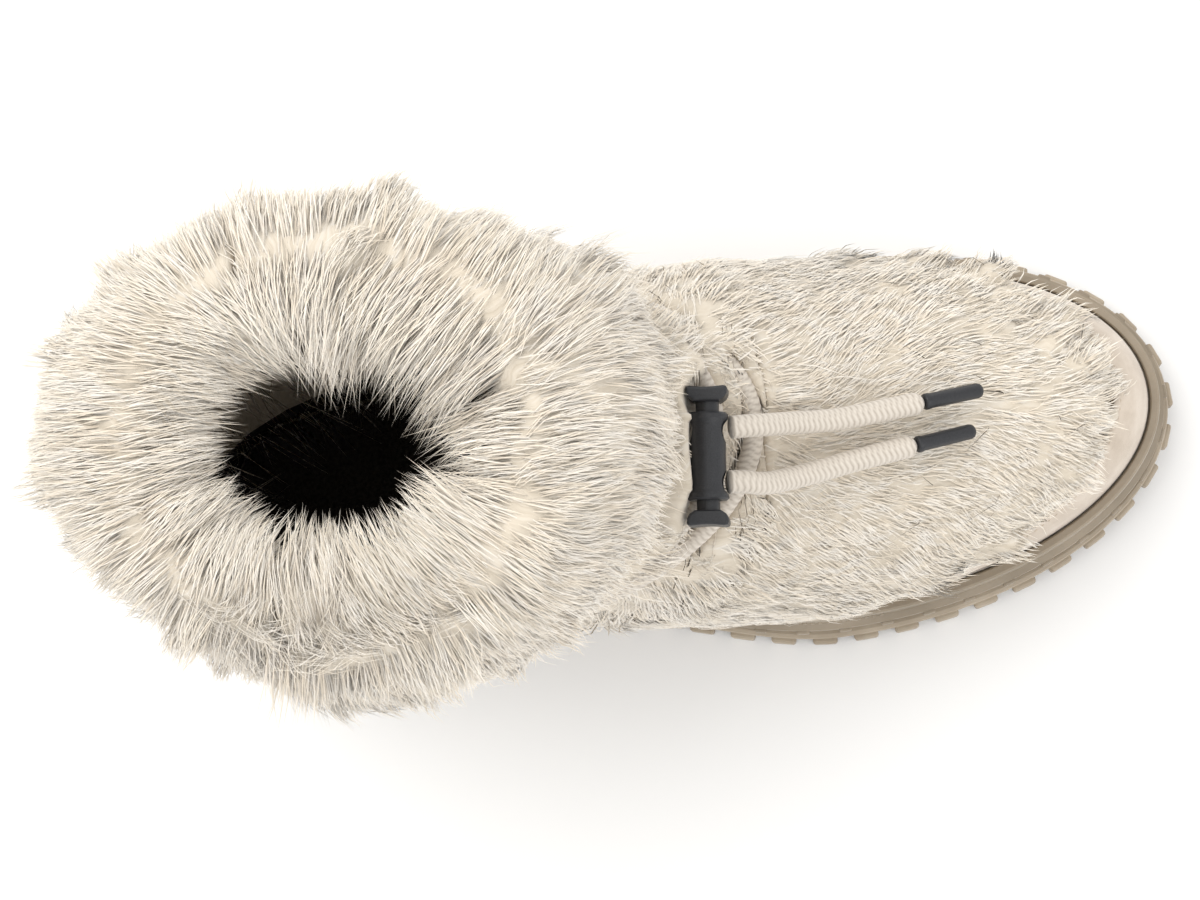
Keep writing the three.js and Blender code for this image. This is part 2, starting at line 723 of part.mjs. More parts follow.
function cordTip(name, extra = 0) {
  const points = CORD_ENDS[name].map((p) => V(...p));
  const way = points.at(-1).clone().sub(points.at(-2)).normalize();
  const start = points.at(-1).clone().addScaledVector(way, GAP);
  const r = TIP_RADIUS + extra;
  const profile = [
    [0, 0],
    [r, 0],
    [r, TIP_LENGTH - r * 0.6],
    [r * 0.7, TIP_LENGTH - r * 0.15],
    [0, TIP_LENGTH],
  ].map(([x, y]) => new THREE.Vector2(x, y));
  const turn = new THREE.Quaternion().setFromUnitVectors(V(0, 1, 0), way);
  const tip = new THREE.LatheGeometry(profile, 12).applyQuaternion(turn).translate(start.x, start.y, start.z);
  return solidOf(tip);
}

// What the fur makes room for
function cordsAndLock() {
  const extra = GAP + 0.2;
  const length = LOCK_BODY + 2 * (BUTTON_TRAVEL + BUTTON_THICK + 2);
  const radius = LOCK_RADIUS * LOCK_FLARE + extra;
  const around = placed(new THREE.CylinderGeometry(radius, radius, length, 20));
  const [wide, deep] = [BUTTON_WIDTH + 2 * extra, LOCK_RADIUS * 1.9 + 2 * extra];
  const heads = [-1, 1].map((side) =>
    placed(
      new THREE.BoxGeometry(wide, BUTTON_THICK + BUTTON_TRAVEL + 3, deep)
        .translate(0, side * (LOCK_BODY / 2 + BUTTON_TRAVEL + BUTTON_THICK / 2 + 0.5), 0),
    ),
  );
  const ends = ["inner", "outer"].flatMap((name) => [cordEnd(name, extra), cordTip(name, extra)]);
  return wasm.Manifold.union([around, ...heads, drawcord(2.4 * extra, 6), ...ends]);
}
const roomForCords = cordsAndLock();

// Line between the vamp's fur and the shaft's fur, in the side view, along the lower turn of the cord
const THROAT = [
  { up: 0.1, station: 0.24 },
  { up: 0.45, station: 0.33 },
  { up: 0.7, station: 0.44 },
  { up: 0.85, station: 0.52 },
  { up: 1.2, station: 0.62 },
];
const throatLine = THROAT.map(({ up, station }) => [station * TOE_X, up * INSTEP_HEIGHT]);

// Rows of tufts on the vamp: how far up its section, how many a side and how far each row is staggered
const VAMP_TUFTS = [
  { rise: 0.5, count: 6, nudge: 0 },
  { rise: 0.72, count: 6, nudge: 0.5 },
  { rise: 0.9, count: 5, nudge: 0.1 },
];

function makeVampFur() {
  const layer = furForm().subtract(form(SUEDE + 2 * GAP));
  const region = sidePrism([
    ...throatLine.map(([x, z]) => [x + GAP / 2, z]),
    [TOE_X, INSTEP_HEIGHT * 1.2],
    [TOE_X, 0],
    [throatLine[0][0], 0],
  ]);
  const body = layer.intersect(region);
  const plan = offset(shellPlan, PILE * 0.8);
  const surface = (side) => (u, rise) => {
    const k = (side > 0 ? u : plan.length - u) % plan.length;
    const [a, b] = [plan[Math.floor(k)], plan[Math.ceil(k) % plan.length]];
    const inward = (column) => tableValue(SECTION, "rise", column, rise);
    const row = { side: inward("side"), toe: inward("toe"), rise };
    return footPoint([lerp(a[0], b[0], k % 1), lerp(a[1], b[1], k % 1)], row, PILE);
  };
  const tufts = VAMP_TUFTS.flatMap(({ rise, count, nudge }) =>
    Array.from({ length: 2 * count }, (_, i) => {
      const u = lerp(1.3, TOE_STEPS + 1.8, (Math.floor(i / 2) + nudge) / count);
      const at = surface(i % 2 ? -1 : 1);
      const root = at(u, rise);
      return tuft(at, [u, rise], [u - 1, rise - 0.03], V(root.x, 0, BALL_SEAT), TUFT_WIDTH * 0.75);
    }),
  );
  const whole = wasm.Manifold.union([body, ...tufts]).intersect(region).subtract(below(guardLine));
  return biggest(whole.subtract(roomForCords));
}

// The fur bulges over and under the upper turn of the cord: how far above it, and how thick
const ROLLS = [
  { lift: 9, radius: 7.5 },
  { lift: -7.5, radius: 7 },
];
function roll(ring, lift, size) {
  const path = Array.from({ length: ROLL_STEPS }, (_, i) => {
    const p = ringPoint(ring, (i / ROLL_STEPS) * 2 * Math.PI);
    p.x = SHAFT_CENTRE + (p.x - SHAFT_CENTRE) * 0.955;
    p.y *= 0.93;
    p.z += lift;
    return p;
  });
  const curve = new THREE.CatmullRomCurve3(path, true);
  const rings = Array.from({ length: ROLL_STEPS }, (_, k) => {
    const p = curve.getPoint(k / ROLL_STEPS);
    const t = curve.getTangent(k / ROLL_STEPS);
    const up = V(0, 0, 1);
    const across = new THREE.Vector3().crossVectors(t, up).normalize();
    return Array.from({ length: 6 }, (_, i) => {
      const a = (i / 6) * 2 * Math.PI;
      return p.clone()
        .addScaledVector(across, Math.cos(a) * size)
        .addScaledVector(up, Math.sin(a) * size * 0.8);
    });
  });
  return loft(rings, true);
}
const rolls = (extra) => ROLLS.map(({ lift, radius }) => roll(RINGS.upper, lift, radius + extra));

function makeShaftFur() {
  const layer = furForm().subtract(form(SUEDE + 2 * GAP));
  const foot = layer.subtract(below((x) => seat(x) + LIP_HEIGHT + GAP));
  const guard = sidePrism([
    [GUARD_BACK - 1, 0],
    [TOE_X, 0],
    [TOE_X, GUARD_AT_TOE],
    ...Array.from({ length: 9 }, (_, i) => {
      const x = lerp(TOE_X * 0.8, GUARD_BACK - 1, i / 8);
      return [x, guardLine(x)];
    }),
  ]);
  const front = sidePrism([
    ...throatLine.map(([x, z]) => [x - GAP / 2, z]),
    [-2 * HEEL_BACK, INSTEP_HEIGHT * 1.2],
    [-2 * HEEL_BACK, 0],
    [throatLine[0][0] - GAP / 2, 0],
  ]);
  const lid = below(() => CUFF_BOTTOM + ANKLE_UNDER_CUFF);
  const bulges = rolls(0).map((solid) => solid.subtract(form(SUEDE + 2 * GAP)));
  return wasm.Manifold.union([foot, ...bulges]).subtract(guard).intersect(front).intersect(lid)
    .subtract(roomForCords);
}

// Cuff: a thick roll of fur that hooks over the shell's top edge

// How far the cuff reaches from the shaft's centre at each angle from the front, as a share of its reach
const CUFF_OUTLINE = [
  { angle: 0, reach: 1 },
  { angle: 30, reach: 0.97 },
  { angle: 60, reach: 0.79 },
  { angle: 90, reach: 0.8 },
  { angle: 120, reach: 0.87 },
  { angle: 150, reach: 1.0 },
  { angle: 180, reach: 0.99 },
  { angle: 210, reach: 0.82 },
  { angle: 240, reach: 0.76 },
  { angle: 270, reach: 0.8 },
  { angle: 300, reach: 0.84 },
  { angle: 330, reach: 0.92 },
  { angle: 360, reach: 1 },
];

// Section of the cuff: out is a share of the reach past the shell, or of the inward reach where negative
const CUFF_SECTION = [
  { out: 0.1, level: 0.02 },
  { out: 0.72, level: 0.03 },
  { out: 0.97, level: 0.2 },
  { out: 1, level: 0.42 },
  { out: 0.88, level: 0.66 },
  { out: 0.62, level: 0.86 },
  { out: 0.25, level: 0.98 },
  { out: -0.3, level: 0.99 },
  { out: -0.82, level: 0.88 },
  { out: -1, level: 0.66 },
  { out: -0.9, level: 0.4 },
  { out: -0.4, level: 0.22 },
];
function cuffPoint(angle, out, level) {
  const turn = THREE.MathUtils.euclideanModulo(THREE.MathUtils.radToDeg(angle), 360);
  const wall = shaftPoint(angle, 1, 0);
  const direction = V(wall.x - SHAFT_CENTRE, wall.y, 0);
  const wallRadius = direction.length();
  direction.normalize();
  const reach = CUFF_REACH * tableValue(CUFF_OUTLINE, "angle", "reach", turn) - wallRadius;
  const by = out < 0 ? out * CUFF_INWARD : out * reach;
  return V(
    wall.x + direction.x * by,
    wall.y + direction.y * by,
    lerp(CUFF_BOTTOM, CUFF_TOP, level),
  );
}

function cuffSurface(angle, place) {
  const n = CUFF_SECTION.length;
  const k = THREE.MathUtils.euclideanModulo(place, n);
  const [a, b] = [CUFF_SECTION[Math.floor(k)], CUFF_SECTION[(Math.floor(k) + 1) % n]];
  const f = k - Math.floor(k);
  return cuffPoint(angle, lerp(a.out, b.out, f), lerp(a.level, b.level, f));
}

// Rows of tufts round the cuff: place on its section, how far along it they reach, and how many
const CUFF_TUFTS = [
  { place: 2.2, reach: -1.2, count: 16 },
  { place: 3.7, reach: -1.3, count: 16 },
  { place: 5.4, reach: -1.5, count: 14 },
  { place: 6.9, reach: 1.2, count: 11 },
];

function makeCuffs() {
  const rings = Array.from({ length: CUFF_STEPS }, (_, i) =>
    CUFF_SECTION.map(({ out, level }) => cuffPoint((i / CUFF_STEPS) * 2 * Math.PI, out, level)),
  );
  const body = loft(rings, true);
  const tufts = CUFF_TUFTS.flatMap(({ place, reach, count }, row) =>
    Array.from({ length: count }, (_, i) => {
      const angle = ((i + 0.5 * (row % 2)) / count) * 2 * Math.PI;
      const lean = 0.1 * (i % 3) - 0.1;
      const inside = cuffPoint(angle, 0, 0.5);
      return tuft(cuffSurface, [angle, place], [angle + lean, place + reach], inside, TUFT_WIDTH);
    }),
  );
  // The ankle's fur goes in under the cuff's bottom edge
  const ankle = shaftForm(PILE + GAP)
    .subtract(below(() => SHAFT_TOP * 0.6))
    .intersect(below(() => CUFF_BOTTOM + ANKLE_UNDER_CUFF + 2));
  const hem = below(() => CUFF_BOTTOM + 6).intersect(shaftForm(2 * PILE));
  const whole = wasm.Manifold.union([body, ...tufts])
    .subtract(form(GAP, 0))
    .subtract(ankle)
    .subtract(hem)
    .subtract(wasm.Manifold.union(rolls(1.5 * GAP)))
    .subtract(roomForCords);
  const notch = (side) => {
    const y = side * CUFF_REACH;
    const wall = side * (SHAFT_HALF_WIDTH + SEAM_DEPTH * 0.6);
    const corners = [
      [CUFF_SEAM_AT - SEAM_WIDTH / 2, y],
      [CUFF_SEAM_AT, wall],
      [CUFF_SEAM_AT + SEAM_WIDTH / 2, y],
    ];
    return planPrism(side > 0 ? corners : corners.reverse(), CUFF_BOTTOM - TUFT_WIDTH, CUFF_TOP + TUFT_WIDTH);
  };
  const notched = whole.subtract(notch(1)).subtract(notch(-1));
  const half = (from, to) =>
    notched.intersect(sidePrism([[from, 0], [to, 0], [to, 2 * CUFF_TOP], [from, 2 * CUFF_TOP]]));
  return {
    front: biggest(half(CUFF_SEAM_AT + GAP / 2, TOE_X)),
    back: biggest(half(-TOE_X, CUFF_SEAM_AT - GAP / 2)),
  };
}

// The boot

const cream = { color: 0xe4d8c6, roughness: 0.95, metalness: 0 };
const MATERIALS = {
  fur: cream,
  suede: { color: 0xddcebb, roughness: 0.9, metalness: 0 },
  lining: { color: 0x111110, roughness: 0.95, metalness: 0 },
  midsole: { color: 0xb5ab95, roughness: 0.5, metalness: 0 },
  outsole: { color: 0xa39479, roughness: 0.55, metalness: 0 },
  cord: { color: 0xe6ded3, roughness: 0.85, metalness: 0 },
  plastic: { color: 0x232427, roughness: 0.45, metalness: 0 },
};

const boot = new THREE.Group();

function add(name, finish, solid, simple = false) {
  const { vertProperties, triVerts, numProp } = (simple ? solid.simplify(FINE) : solid).getMesh();
  const position = new Float32Array((vertProperties.length / numProp) * 3);
  for (let i = 0; i < position.length / 3; i++)
    position.set(vertProperties.subarray(i * numProp, i * numProp + 3), i * 3);
  const geometry = new THREE.BufferGeometry();
  geometry.setAttribute("position", new THREE.BufferAttribute(position, 3));
  geometry.setIndex(new THREE.BufferAttribute(Uint32Array.from(triVerts), 1));
  const mesh = new THREE.Mesh(geometry, new THREE.MeshStandardMaterial(MATERIALS[finish]));
  mesh.name = name;
  boot.add(mesh);
}

const cuffs = makeCuffs();
add("outsole", "outsole", makeOutsole(), true);
add("midsole", "midsole", makeMidsole(), true);
add("insole", "lining", makeInsole());
add("upper", "lining", makeUpper(), true);
add("toe_mudguard", "suede", makeMudguard(), true);
add("vamp_fur", "fur", makeVampFur(), true);
add("shaft_fur", "fur", makeShaftFur(), true);
add("cuff_front", "fur", cuffs.front, true);
add("cuff_back", "fur", cuffs.back, true);
add("drawcord", "cord", drawcord(0));
add("lock_barrel", "plastic", makeLockBarrel());
add("lock_button_inner", "plastic", makeButton(1));
add("lock_button_outer", "plastic", makeButton(-1));
for (const name of ["inner", "outer"]) {
  add("cord_end_" + name, "cord", cordEnd(name));
  add("cord_tip_" + name, "plastic", cordTip(name));
}

export default boot;
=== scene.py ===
"""Looks of a fur winter boot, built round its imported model: long cream pile, a suede toe guard, a moulded
rubber sole, a braided drawcord and its two-button cord lock."""

import math

import bmesh
import bpy
import numpy as np
from bpy.props import FloatProperty, FloatVectorProperty, IntProperty, PointerProperty
from bpy.types import Operator, Panel, PropertyGroup
from mathutils import Matrix, Vector
from mathutils.bvhtree import BVHTree
from mathutils.kdtree import KDTree


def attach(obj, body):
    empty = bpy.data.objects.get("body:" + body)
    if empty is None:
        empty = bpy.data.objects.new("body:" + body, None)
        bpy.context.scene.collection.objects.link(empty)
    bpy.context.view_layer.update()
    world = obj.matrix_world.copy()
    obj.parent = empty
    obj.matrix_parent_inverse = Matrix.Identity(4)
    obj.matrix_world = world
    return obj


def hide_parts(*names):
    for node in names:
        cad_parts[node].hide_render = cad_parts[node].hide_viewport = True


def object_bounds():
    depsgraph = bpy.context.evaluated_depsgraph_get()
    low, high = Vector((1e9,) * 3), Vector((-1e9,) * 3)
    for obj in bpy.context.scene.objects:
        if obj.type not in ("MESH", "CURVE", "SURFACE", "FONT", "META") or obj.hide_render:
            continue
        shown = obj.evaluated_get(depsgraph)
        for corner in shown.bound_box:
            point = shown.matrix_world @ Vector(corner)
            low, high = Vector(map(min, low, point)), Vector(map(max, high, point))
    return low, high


bl_info = {
    "name": "Winter boot looks",
    "version": (1, 0, 0),
    "blender": (4, 5, 0),
    "location": "View3D > Sidebar > Boot",
    "description": "Builds the fur, suede, rubber, cord and cord lock of a winter boot round its frame",
    "category": "Object",
}

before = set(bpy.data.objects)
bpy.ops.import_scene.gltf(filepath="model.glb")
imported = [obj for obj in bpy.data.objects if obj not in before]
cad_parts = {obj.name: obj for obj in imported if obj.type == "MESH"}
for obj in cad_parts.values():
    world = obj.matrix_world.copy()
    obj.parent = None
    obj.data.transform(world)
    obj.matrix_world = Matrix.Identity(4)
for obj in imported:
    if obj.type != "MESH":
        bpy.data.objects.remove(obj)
CAD_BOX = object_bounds()
BODY = "boot"
MM = 0.001
SEED = 7

# Driving sizes of the boot, in millimetres, as its solids have them
SOLE_LENGTH = 280
HEEL_BACK = 38
HEEL_HALF_WIDTH = 38
WAIST_INNER = 40
WAIST_OUTER = 41
WAIST_AT = 66
BALL_INNER = 51
BALL_OUTER = 56
BALL_INNER_AT = 158
BALL_OUTER_AT = 141
FLANGE = 6.6
FLANGE_AT_BALL = 1.2
FLANGE_TUCK = 3.6
LUG_DEPTH = 5
PLATE_TOP = 10
HEEL_SEAT = 32
BALL_SEAT = 26
TOE_SPRING = 7
SPRING_FROM = 168
LIP_HEIGHT = 2
LUG_PITCH = 12
LUG_WIDTH = 7
LUG_PROUD = 1.4
TOOTH_WIDTH = 3.6
RIB_PITCH = 2.2
RIB_WIDTH = 1.1
GAP = 0.3
SUEDE = 1.3
INSTEP_HEIGHT = 110
GUARD_AT_TOE = 24
GUARD_AT_SIDE = 7
GUARD_BACK = 92
SPINE_FRONT = 0.82
SHAFT_CENTRE = 32
CORD_WIDTH = 7
CORD_THICK = 5.4
TIP_RADIUS = 2.2
TIP_LENGTH = 17.5
LOCK_RADIUS = 4.8
LOCK_BODY = 22.4
LOCK_HEIGHT = 122
LOCK_FORWARD = 115.5
LOCK_ASIDE = -10.5
LOCK_TURN = -0.12
FLARE = 1.12
BORE_RADIUS = 3.1
STEM_RADIUS = 3.02
BUTTON_TRAVEL = 2.2
BUTTON_THICK = 4
BUTTON_WIDTH = 10.8
TOE_X = SOLE_LENGTH - HEEL_BACK

RIDGE = [
    (0, 0.72),
    (0.2, 0.9),
    (0.42, 1.01),
    (0.467, 0.985),
    (0.504, 0.905),
    (0.545, 0.836),
    (0.6, 0.768),
    (0.661, 0.7),
    (0.723, 0.645),
    (0.785, 0.6),
    (0.85, 0.562),
]
# Half of the foot's section: rise, and how far in behind the ball and at the toe
SECTION_SIDE = [(0, 0), (0.28, 0.015), (0.52, 0.07), (0.73, 0.19), (0.88, 0.38), (0.97, 0.64), (1, 0.95)]
SECTION_TOE = [(0, 0), (0.28, 0.04), (0.52, 0.14), (0.73, 0.31), (0.88, 0.5), (0.97, 0.72), (1, 0.96)]

# Route of each free end of the drawcord
CORD_ENDS = {
    "inner": [
        (122.4, -3.8, 121.4),
        (125, -3.8, 120.2),
        (130, -3.8, 116.5),
        (136, -3.6, 110.8),
        (142, -3.6, 106),
        (148, -3.5, 102.2),
        (154, -3, 99),
        (160, -2.3, 95.9),
        (166, -1.6, 92.9),
        (172, -0.9, 90.2),
    ],
    "outer": [
        (120, -17.6, 121.6),
        (123.5, -17.9, 119.8),
        (128, -18.6, 115.5),
        (133.5, -18, 109.8),
        (139, -17, 105),
        (145, -15.8, 101.2),
        (151, -14.6, 98),
        (157, -13.6, 95),
        (163, -12.6, 92),
        (168.5, -11.8, 89.6),
    ],
}
UNDER_LOCK = LOCK_HEIGHT - LOCK_RADIUS * FLARE - CORD_WIDTH / 2 - GAP
RINGS = {
    "upper": (118, -37.5, 46.5, UNDER_LOCK, UNDER_LOCK - 1),
    "lower": (127.5, -39.5, 44.5, UNDER_LOCK - 9, UNDER_LOCK - 16),
}
COURSE_START = -0.42
COURSE_END = -0.02
CROSSING = 0.1


# Forms


def lerp(a, b, t):
    return a + (b - a) * t


def smooth(x, start, end):
    t = np.clip((x - start) / (end - start), 0, 1)
    return t * t * (3 - 2 * t)


def table_value(rows, at):
    """The second column of a table at a place in its first, on a smooth curve through the rows."""
    if at <= rows[0][0]:
        return rows[0][1]
    if at >= rows[-1][0]:
        return rows[-1][1]
    i = next(k for k, row in enumerate(rows) if row[0] > at) - 1
    before, (x0, y0), (x1, y1) = rows[max(i - 1, 0)], rows[i], rows[i + 1]
    after = rows[min(i + 2, len(rows) - 1)]
    span = x1 - x0
    t = (at - x0) / span
    slope0 = (y1 - before[1]) / (x1 - before[0])
    slope1 = (after[1] - y0) / (after[0] - x0)
    return (
        (2 * t**3 - 3 * t**2 + 1) * y0
        + (t**3 - 2 * t**2 + t) * span * slope0
        + (3 * t**2 - 2 * t**3) * y1
        + (t**3 - t**2) * span * slope1
    )


def outline(inset, toe_steps=28, side_steps=34, heel_steps=14):
    """Plan of the sole moved in by inset: from the toe tip along the inner side, back along the outer."""
    waist_inset = max(inset - FLANGE_TUCK, 0) + (inset * 0.4 if inset < FLANGE_TUCK else 0)
    at_ball = FLANGE_AT_BALL * min(max(inset / FLANGE, 0), 1)

    def side(sign, ball, ball_at, waist):
        heel = HEEL_HALF_WIDTH - inset
        points = []
        for i in range(toe_steps):
            a = i / toe_steps * math.pi / 2
            points.append((ball_at + (TOE_X - inset - ball_at) * math.cos(a), ball * math.sin(a)))
        for i in range(side_steps):
            x = ball_at * (1 - i / side_steps)
            if x < WAIST_AT:
                y = lerp(heel, waist, smooth(x, 0, WAIST_AT))
            else:
                y = lerp(waist, ball, smooth(x, WAIST_AT, ball_at))
            points.append((x, y))
        for i in range(heel_steps + 1):
            a = i / heel_steps * math.pi / 2
            points.append((-(HEEL_BACK - inset) * math.sin(a), heel * math.cos(a)))
        return [(x, sign * y) for x, y in points]

    inner = side(1, BALL_INNER - inset, BALL_INNER_AT, WAIST_INNER - waist_inset)
    outer_at = BALL_OUTER_AT + FLANGE_AT_BALL * inset / FLANGE
    outer = side(-1, BALL_OUTER - inset - at_ball, outer_at, WAIST_OUTER - waist_inset)
    return np.array(inner + outer[1:-1][::-1])


def offset(points, by):
    """A closed plan moved out by a distance."""
    ahead = np.roll(points, -1, axis=0) - np.roll(points, 1, axis=0)
    ahead /= np.linalg.norm(ahead, axis=1)[:, None]
    return points + by * np.stack([ahead[:, 1], -ahead[:, 0]], axis=1)


def spring(x):
    return TOE_SPRING * np.clip((x - SPRING_FROM) / (TOE_X - SPRING_FROM), 0, 2) ** 2


def seat(x):
    return lerp(HEEL_SEAT, BALL_SEAT, smooth(x, HEEL_BACK / 2, BALL_OUTER_AT)) + spring(x)


def spine_of(x):
    if x < 0:
        return x * 0.1
    if x < BALL_INNER_AT:
        return x
    return lerp(BALL_INNER_AT, TOE_X * SPINE_FRONT, (x - BALL_INNER_AT) / (TOE_X - BALL_INNER_AT))


def foot_point(point, out, rise, by):
    """A point of the foot form over a point of its plan, moved out by a distance."""
    x, y = point + out * by
    spine = spine_of(x)
    toe = smooth(x, WAIST_AT * 1.6, BALL_INNER_AT * 1.2)
    inward = lerp(table_value(SECTION_SIDE, rise), table_value(SECTION_TOE, rise), toe)
    top = INSTEP_HEIGHT * table_value(RIDGE, spine / TOE_X) + by
    return Vector((lerp(x, spine, inward), y * (1 - inward), lerp(seat(x), top, rise)))


def guard_line(x):
    rise = smooth(x, BALL_OUTER_AT * 0.8, TOE_X - FLANGE)
    return seat(x) + lerp(GUARD_AT_SIDE, GUARD_AT_TOE, rise)


def ring_point(ring, angle):
    front, back, half, front_height, back_height = RINGS[ring]
    share = (1 + math.cos(angle)) / 2
    bulge = 1 + 0.08 * math.sin(angle) ** 2 * math.cos(angle)
    return Vector((lerp(back, front, share), half * math.sin(angle) * bulge, lerp(back_height, front_height, share)))


def cord_point(turn):
    """A point of the drawcord's course, twice round the ankle, crossing itself behind the heel."""
    angle = lerp(COURSE_START, COURSE_END - 4 * math.pi, turn / 2)
    low = smooth(turn, 0.5 - CROSSING, 0.5 + CROSSING) - smooth(turn, 1.5 - CROSSING, 1.5 + CROSSING)
    point = ring_point("upper", angle).lerp(ring_point("lower", angle), float(low))
    over = CORD_THICK * math.exp(-(((turn - 1.5) / CROSSING) ** 2))
    away = Vector((point.x - SHAFT_CENTRE, point.y, 0)).normalized()
    return point + away * over


# Meshes


def linear(hex_colour):
    """An sRGB hex colour as linear red, green and blue."""
    value = int(hex_colour, 16)
    channels = [(value >> shift & 255) / 255 for shift in (16, 8, 0)]
    return tuple(c / 12.92 if c <= 0.04045 else ((c + 0.055) / 1.055) ** 2.4 for c in channels)


def add_piece(name, mesh, material, body=BODY, replaced=(), shade_smooth=True):
    """Links a mesh as a finished piece that rides on a body and stands for CAD nodes."""
    piece = bpy.data.objects.new(name, mesh)
    bpy.context.scene.collection.objects.link(piece)
    mesh.materials.clear()
    mesh.materials.append(material)
    mesh.polygons.foreach_set("use_smooth", [shade_smooth] * len(mesh.polygons))
    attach(piece, body)
    if replaced:
        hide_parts(*replaced)
    return piece


def mesh_from(bm, name):
    mesh = bpy.data.meshes.new(name)
    bmesh.ops.transform(bm, matrix=Matrix.Scale(MM, 4), verts=bm.verts)
    bm.to_mesh(mesh)
    bm.free()
    return mesh


def add_loft(bm, rings, cap_first=True, cap_last=True, closed=False):
    """Closed rings of equal count, bridged one to the next, with their ends filled."""
    loops = []
    for ring in rings:
        verts = [bm.verts.new(p) for p in ring]
        loops.append([bm.edges.new((a, b)) for a, b in zip(verts, verts[1:] + verts[:1])])
    pairs = list(zip(loops, loops[1:]))
    if closed:
        pairs.append((loops[-1], loops[0]))
    for low, high in pairs:
        bmesh.ops.bridge_loops(bm, edges=low + high)
    for wanted, loop in ((cap_first, loops[0]), (cap_last, loops[-1])):
        if wanted and not closed:
            bmesh.ops.triangle_fill(bm, use_beauty=True, edges=loop)
    bmesh.ops.recalc_face_normals(bm, faces=bm.faces)


def add_block(bm, point, out, size, lift, round_by):
    """A rounded block that stands on a plan at a point: size is across, along and high."""
    width, depth, height = size
    x, y = point
    turn = Matrix.Rotation(math.atan2(out[1], out[0]), 4, "Z")
    place = Matrix.Translation((x, y, lift + height / 2)) @ turn @ Matrix.Diagonal((depth, width, height, 1))
    made = bmesh.ops.create_cube(bm, size=1, matrix=place)
    edges = {e for v in made["verts"] for e in v.link_edges}
    bmesh.ops.bevel(
        bm, geom=list(edges), offset=round_by, affect="EDGES", segments=2, profile=0.5, material=-1
    )


def spaced(points, pitch):
    """Places at an even pitch on a closed plan: each a point and its outward direction."""
    steps = np.linalg.norm(np.roll(points, -1, axis=0) - points, axis=1)
    total = steps.sum()
    starts = np.concatenate([[0], np.cumsum(steps)])
    count = round(total / pitch)
    closed = np.vstack([points, points[:1]])
    for at in np.arange(count) * total / count:
        k = min(np.searchsorted(starts, at, side="right") - 1, len(points) - 1)
        ahead = closed[k + 1] - closed[k]
        point = closed[k] + ahead * (at - starts[k]) / steps[k]
        ahead = ahead / np.linalg.norm(ahead)
        yield point, np.array([ahead[1], -ahead[0]])


# Materials


def new_material(name):
    material = bpy.data.materials.new(name)
    material.use_nodes = True
    nodes = material.node_tree.nodes
    return material, nodes, nodes["Principled BSDF"]


def add_node(material, kind, settings=None, values=None, links=None):
    """Adds a node, sets its properties and inputs, and links inputs to other nodes' outputs."""
    node = material.node_tree.nodes.new(kind)
    for key, value in (settings or {}).items():
        setattr(node, key, value)
    for key, value in (values or {}).items():
        node.inputs[key].default_value = value
    for key, socket in (links or {}).items():
        material.node_tree.links.new(socket, node.inputs[key])
    return node


def fill_ramp(node, stops):
    ramp = node.color_ramp
    while len(ramp.elements) < len(stops):
        ramp.elements.new(0.5)
    for element, (position, colour) in zip(ramp.elements, stops):
        element.position = position
        element.color = (*colour, 1)


def link(material, socket, shader, name):
    material.node_tree.links.new(socket, shader.inputs[name])


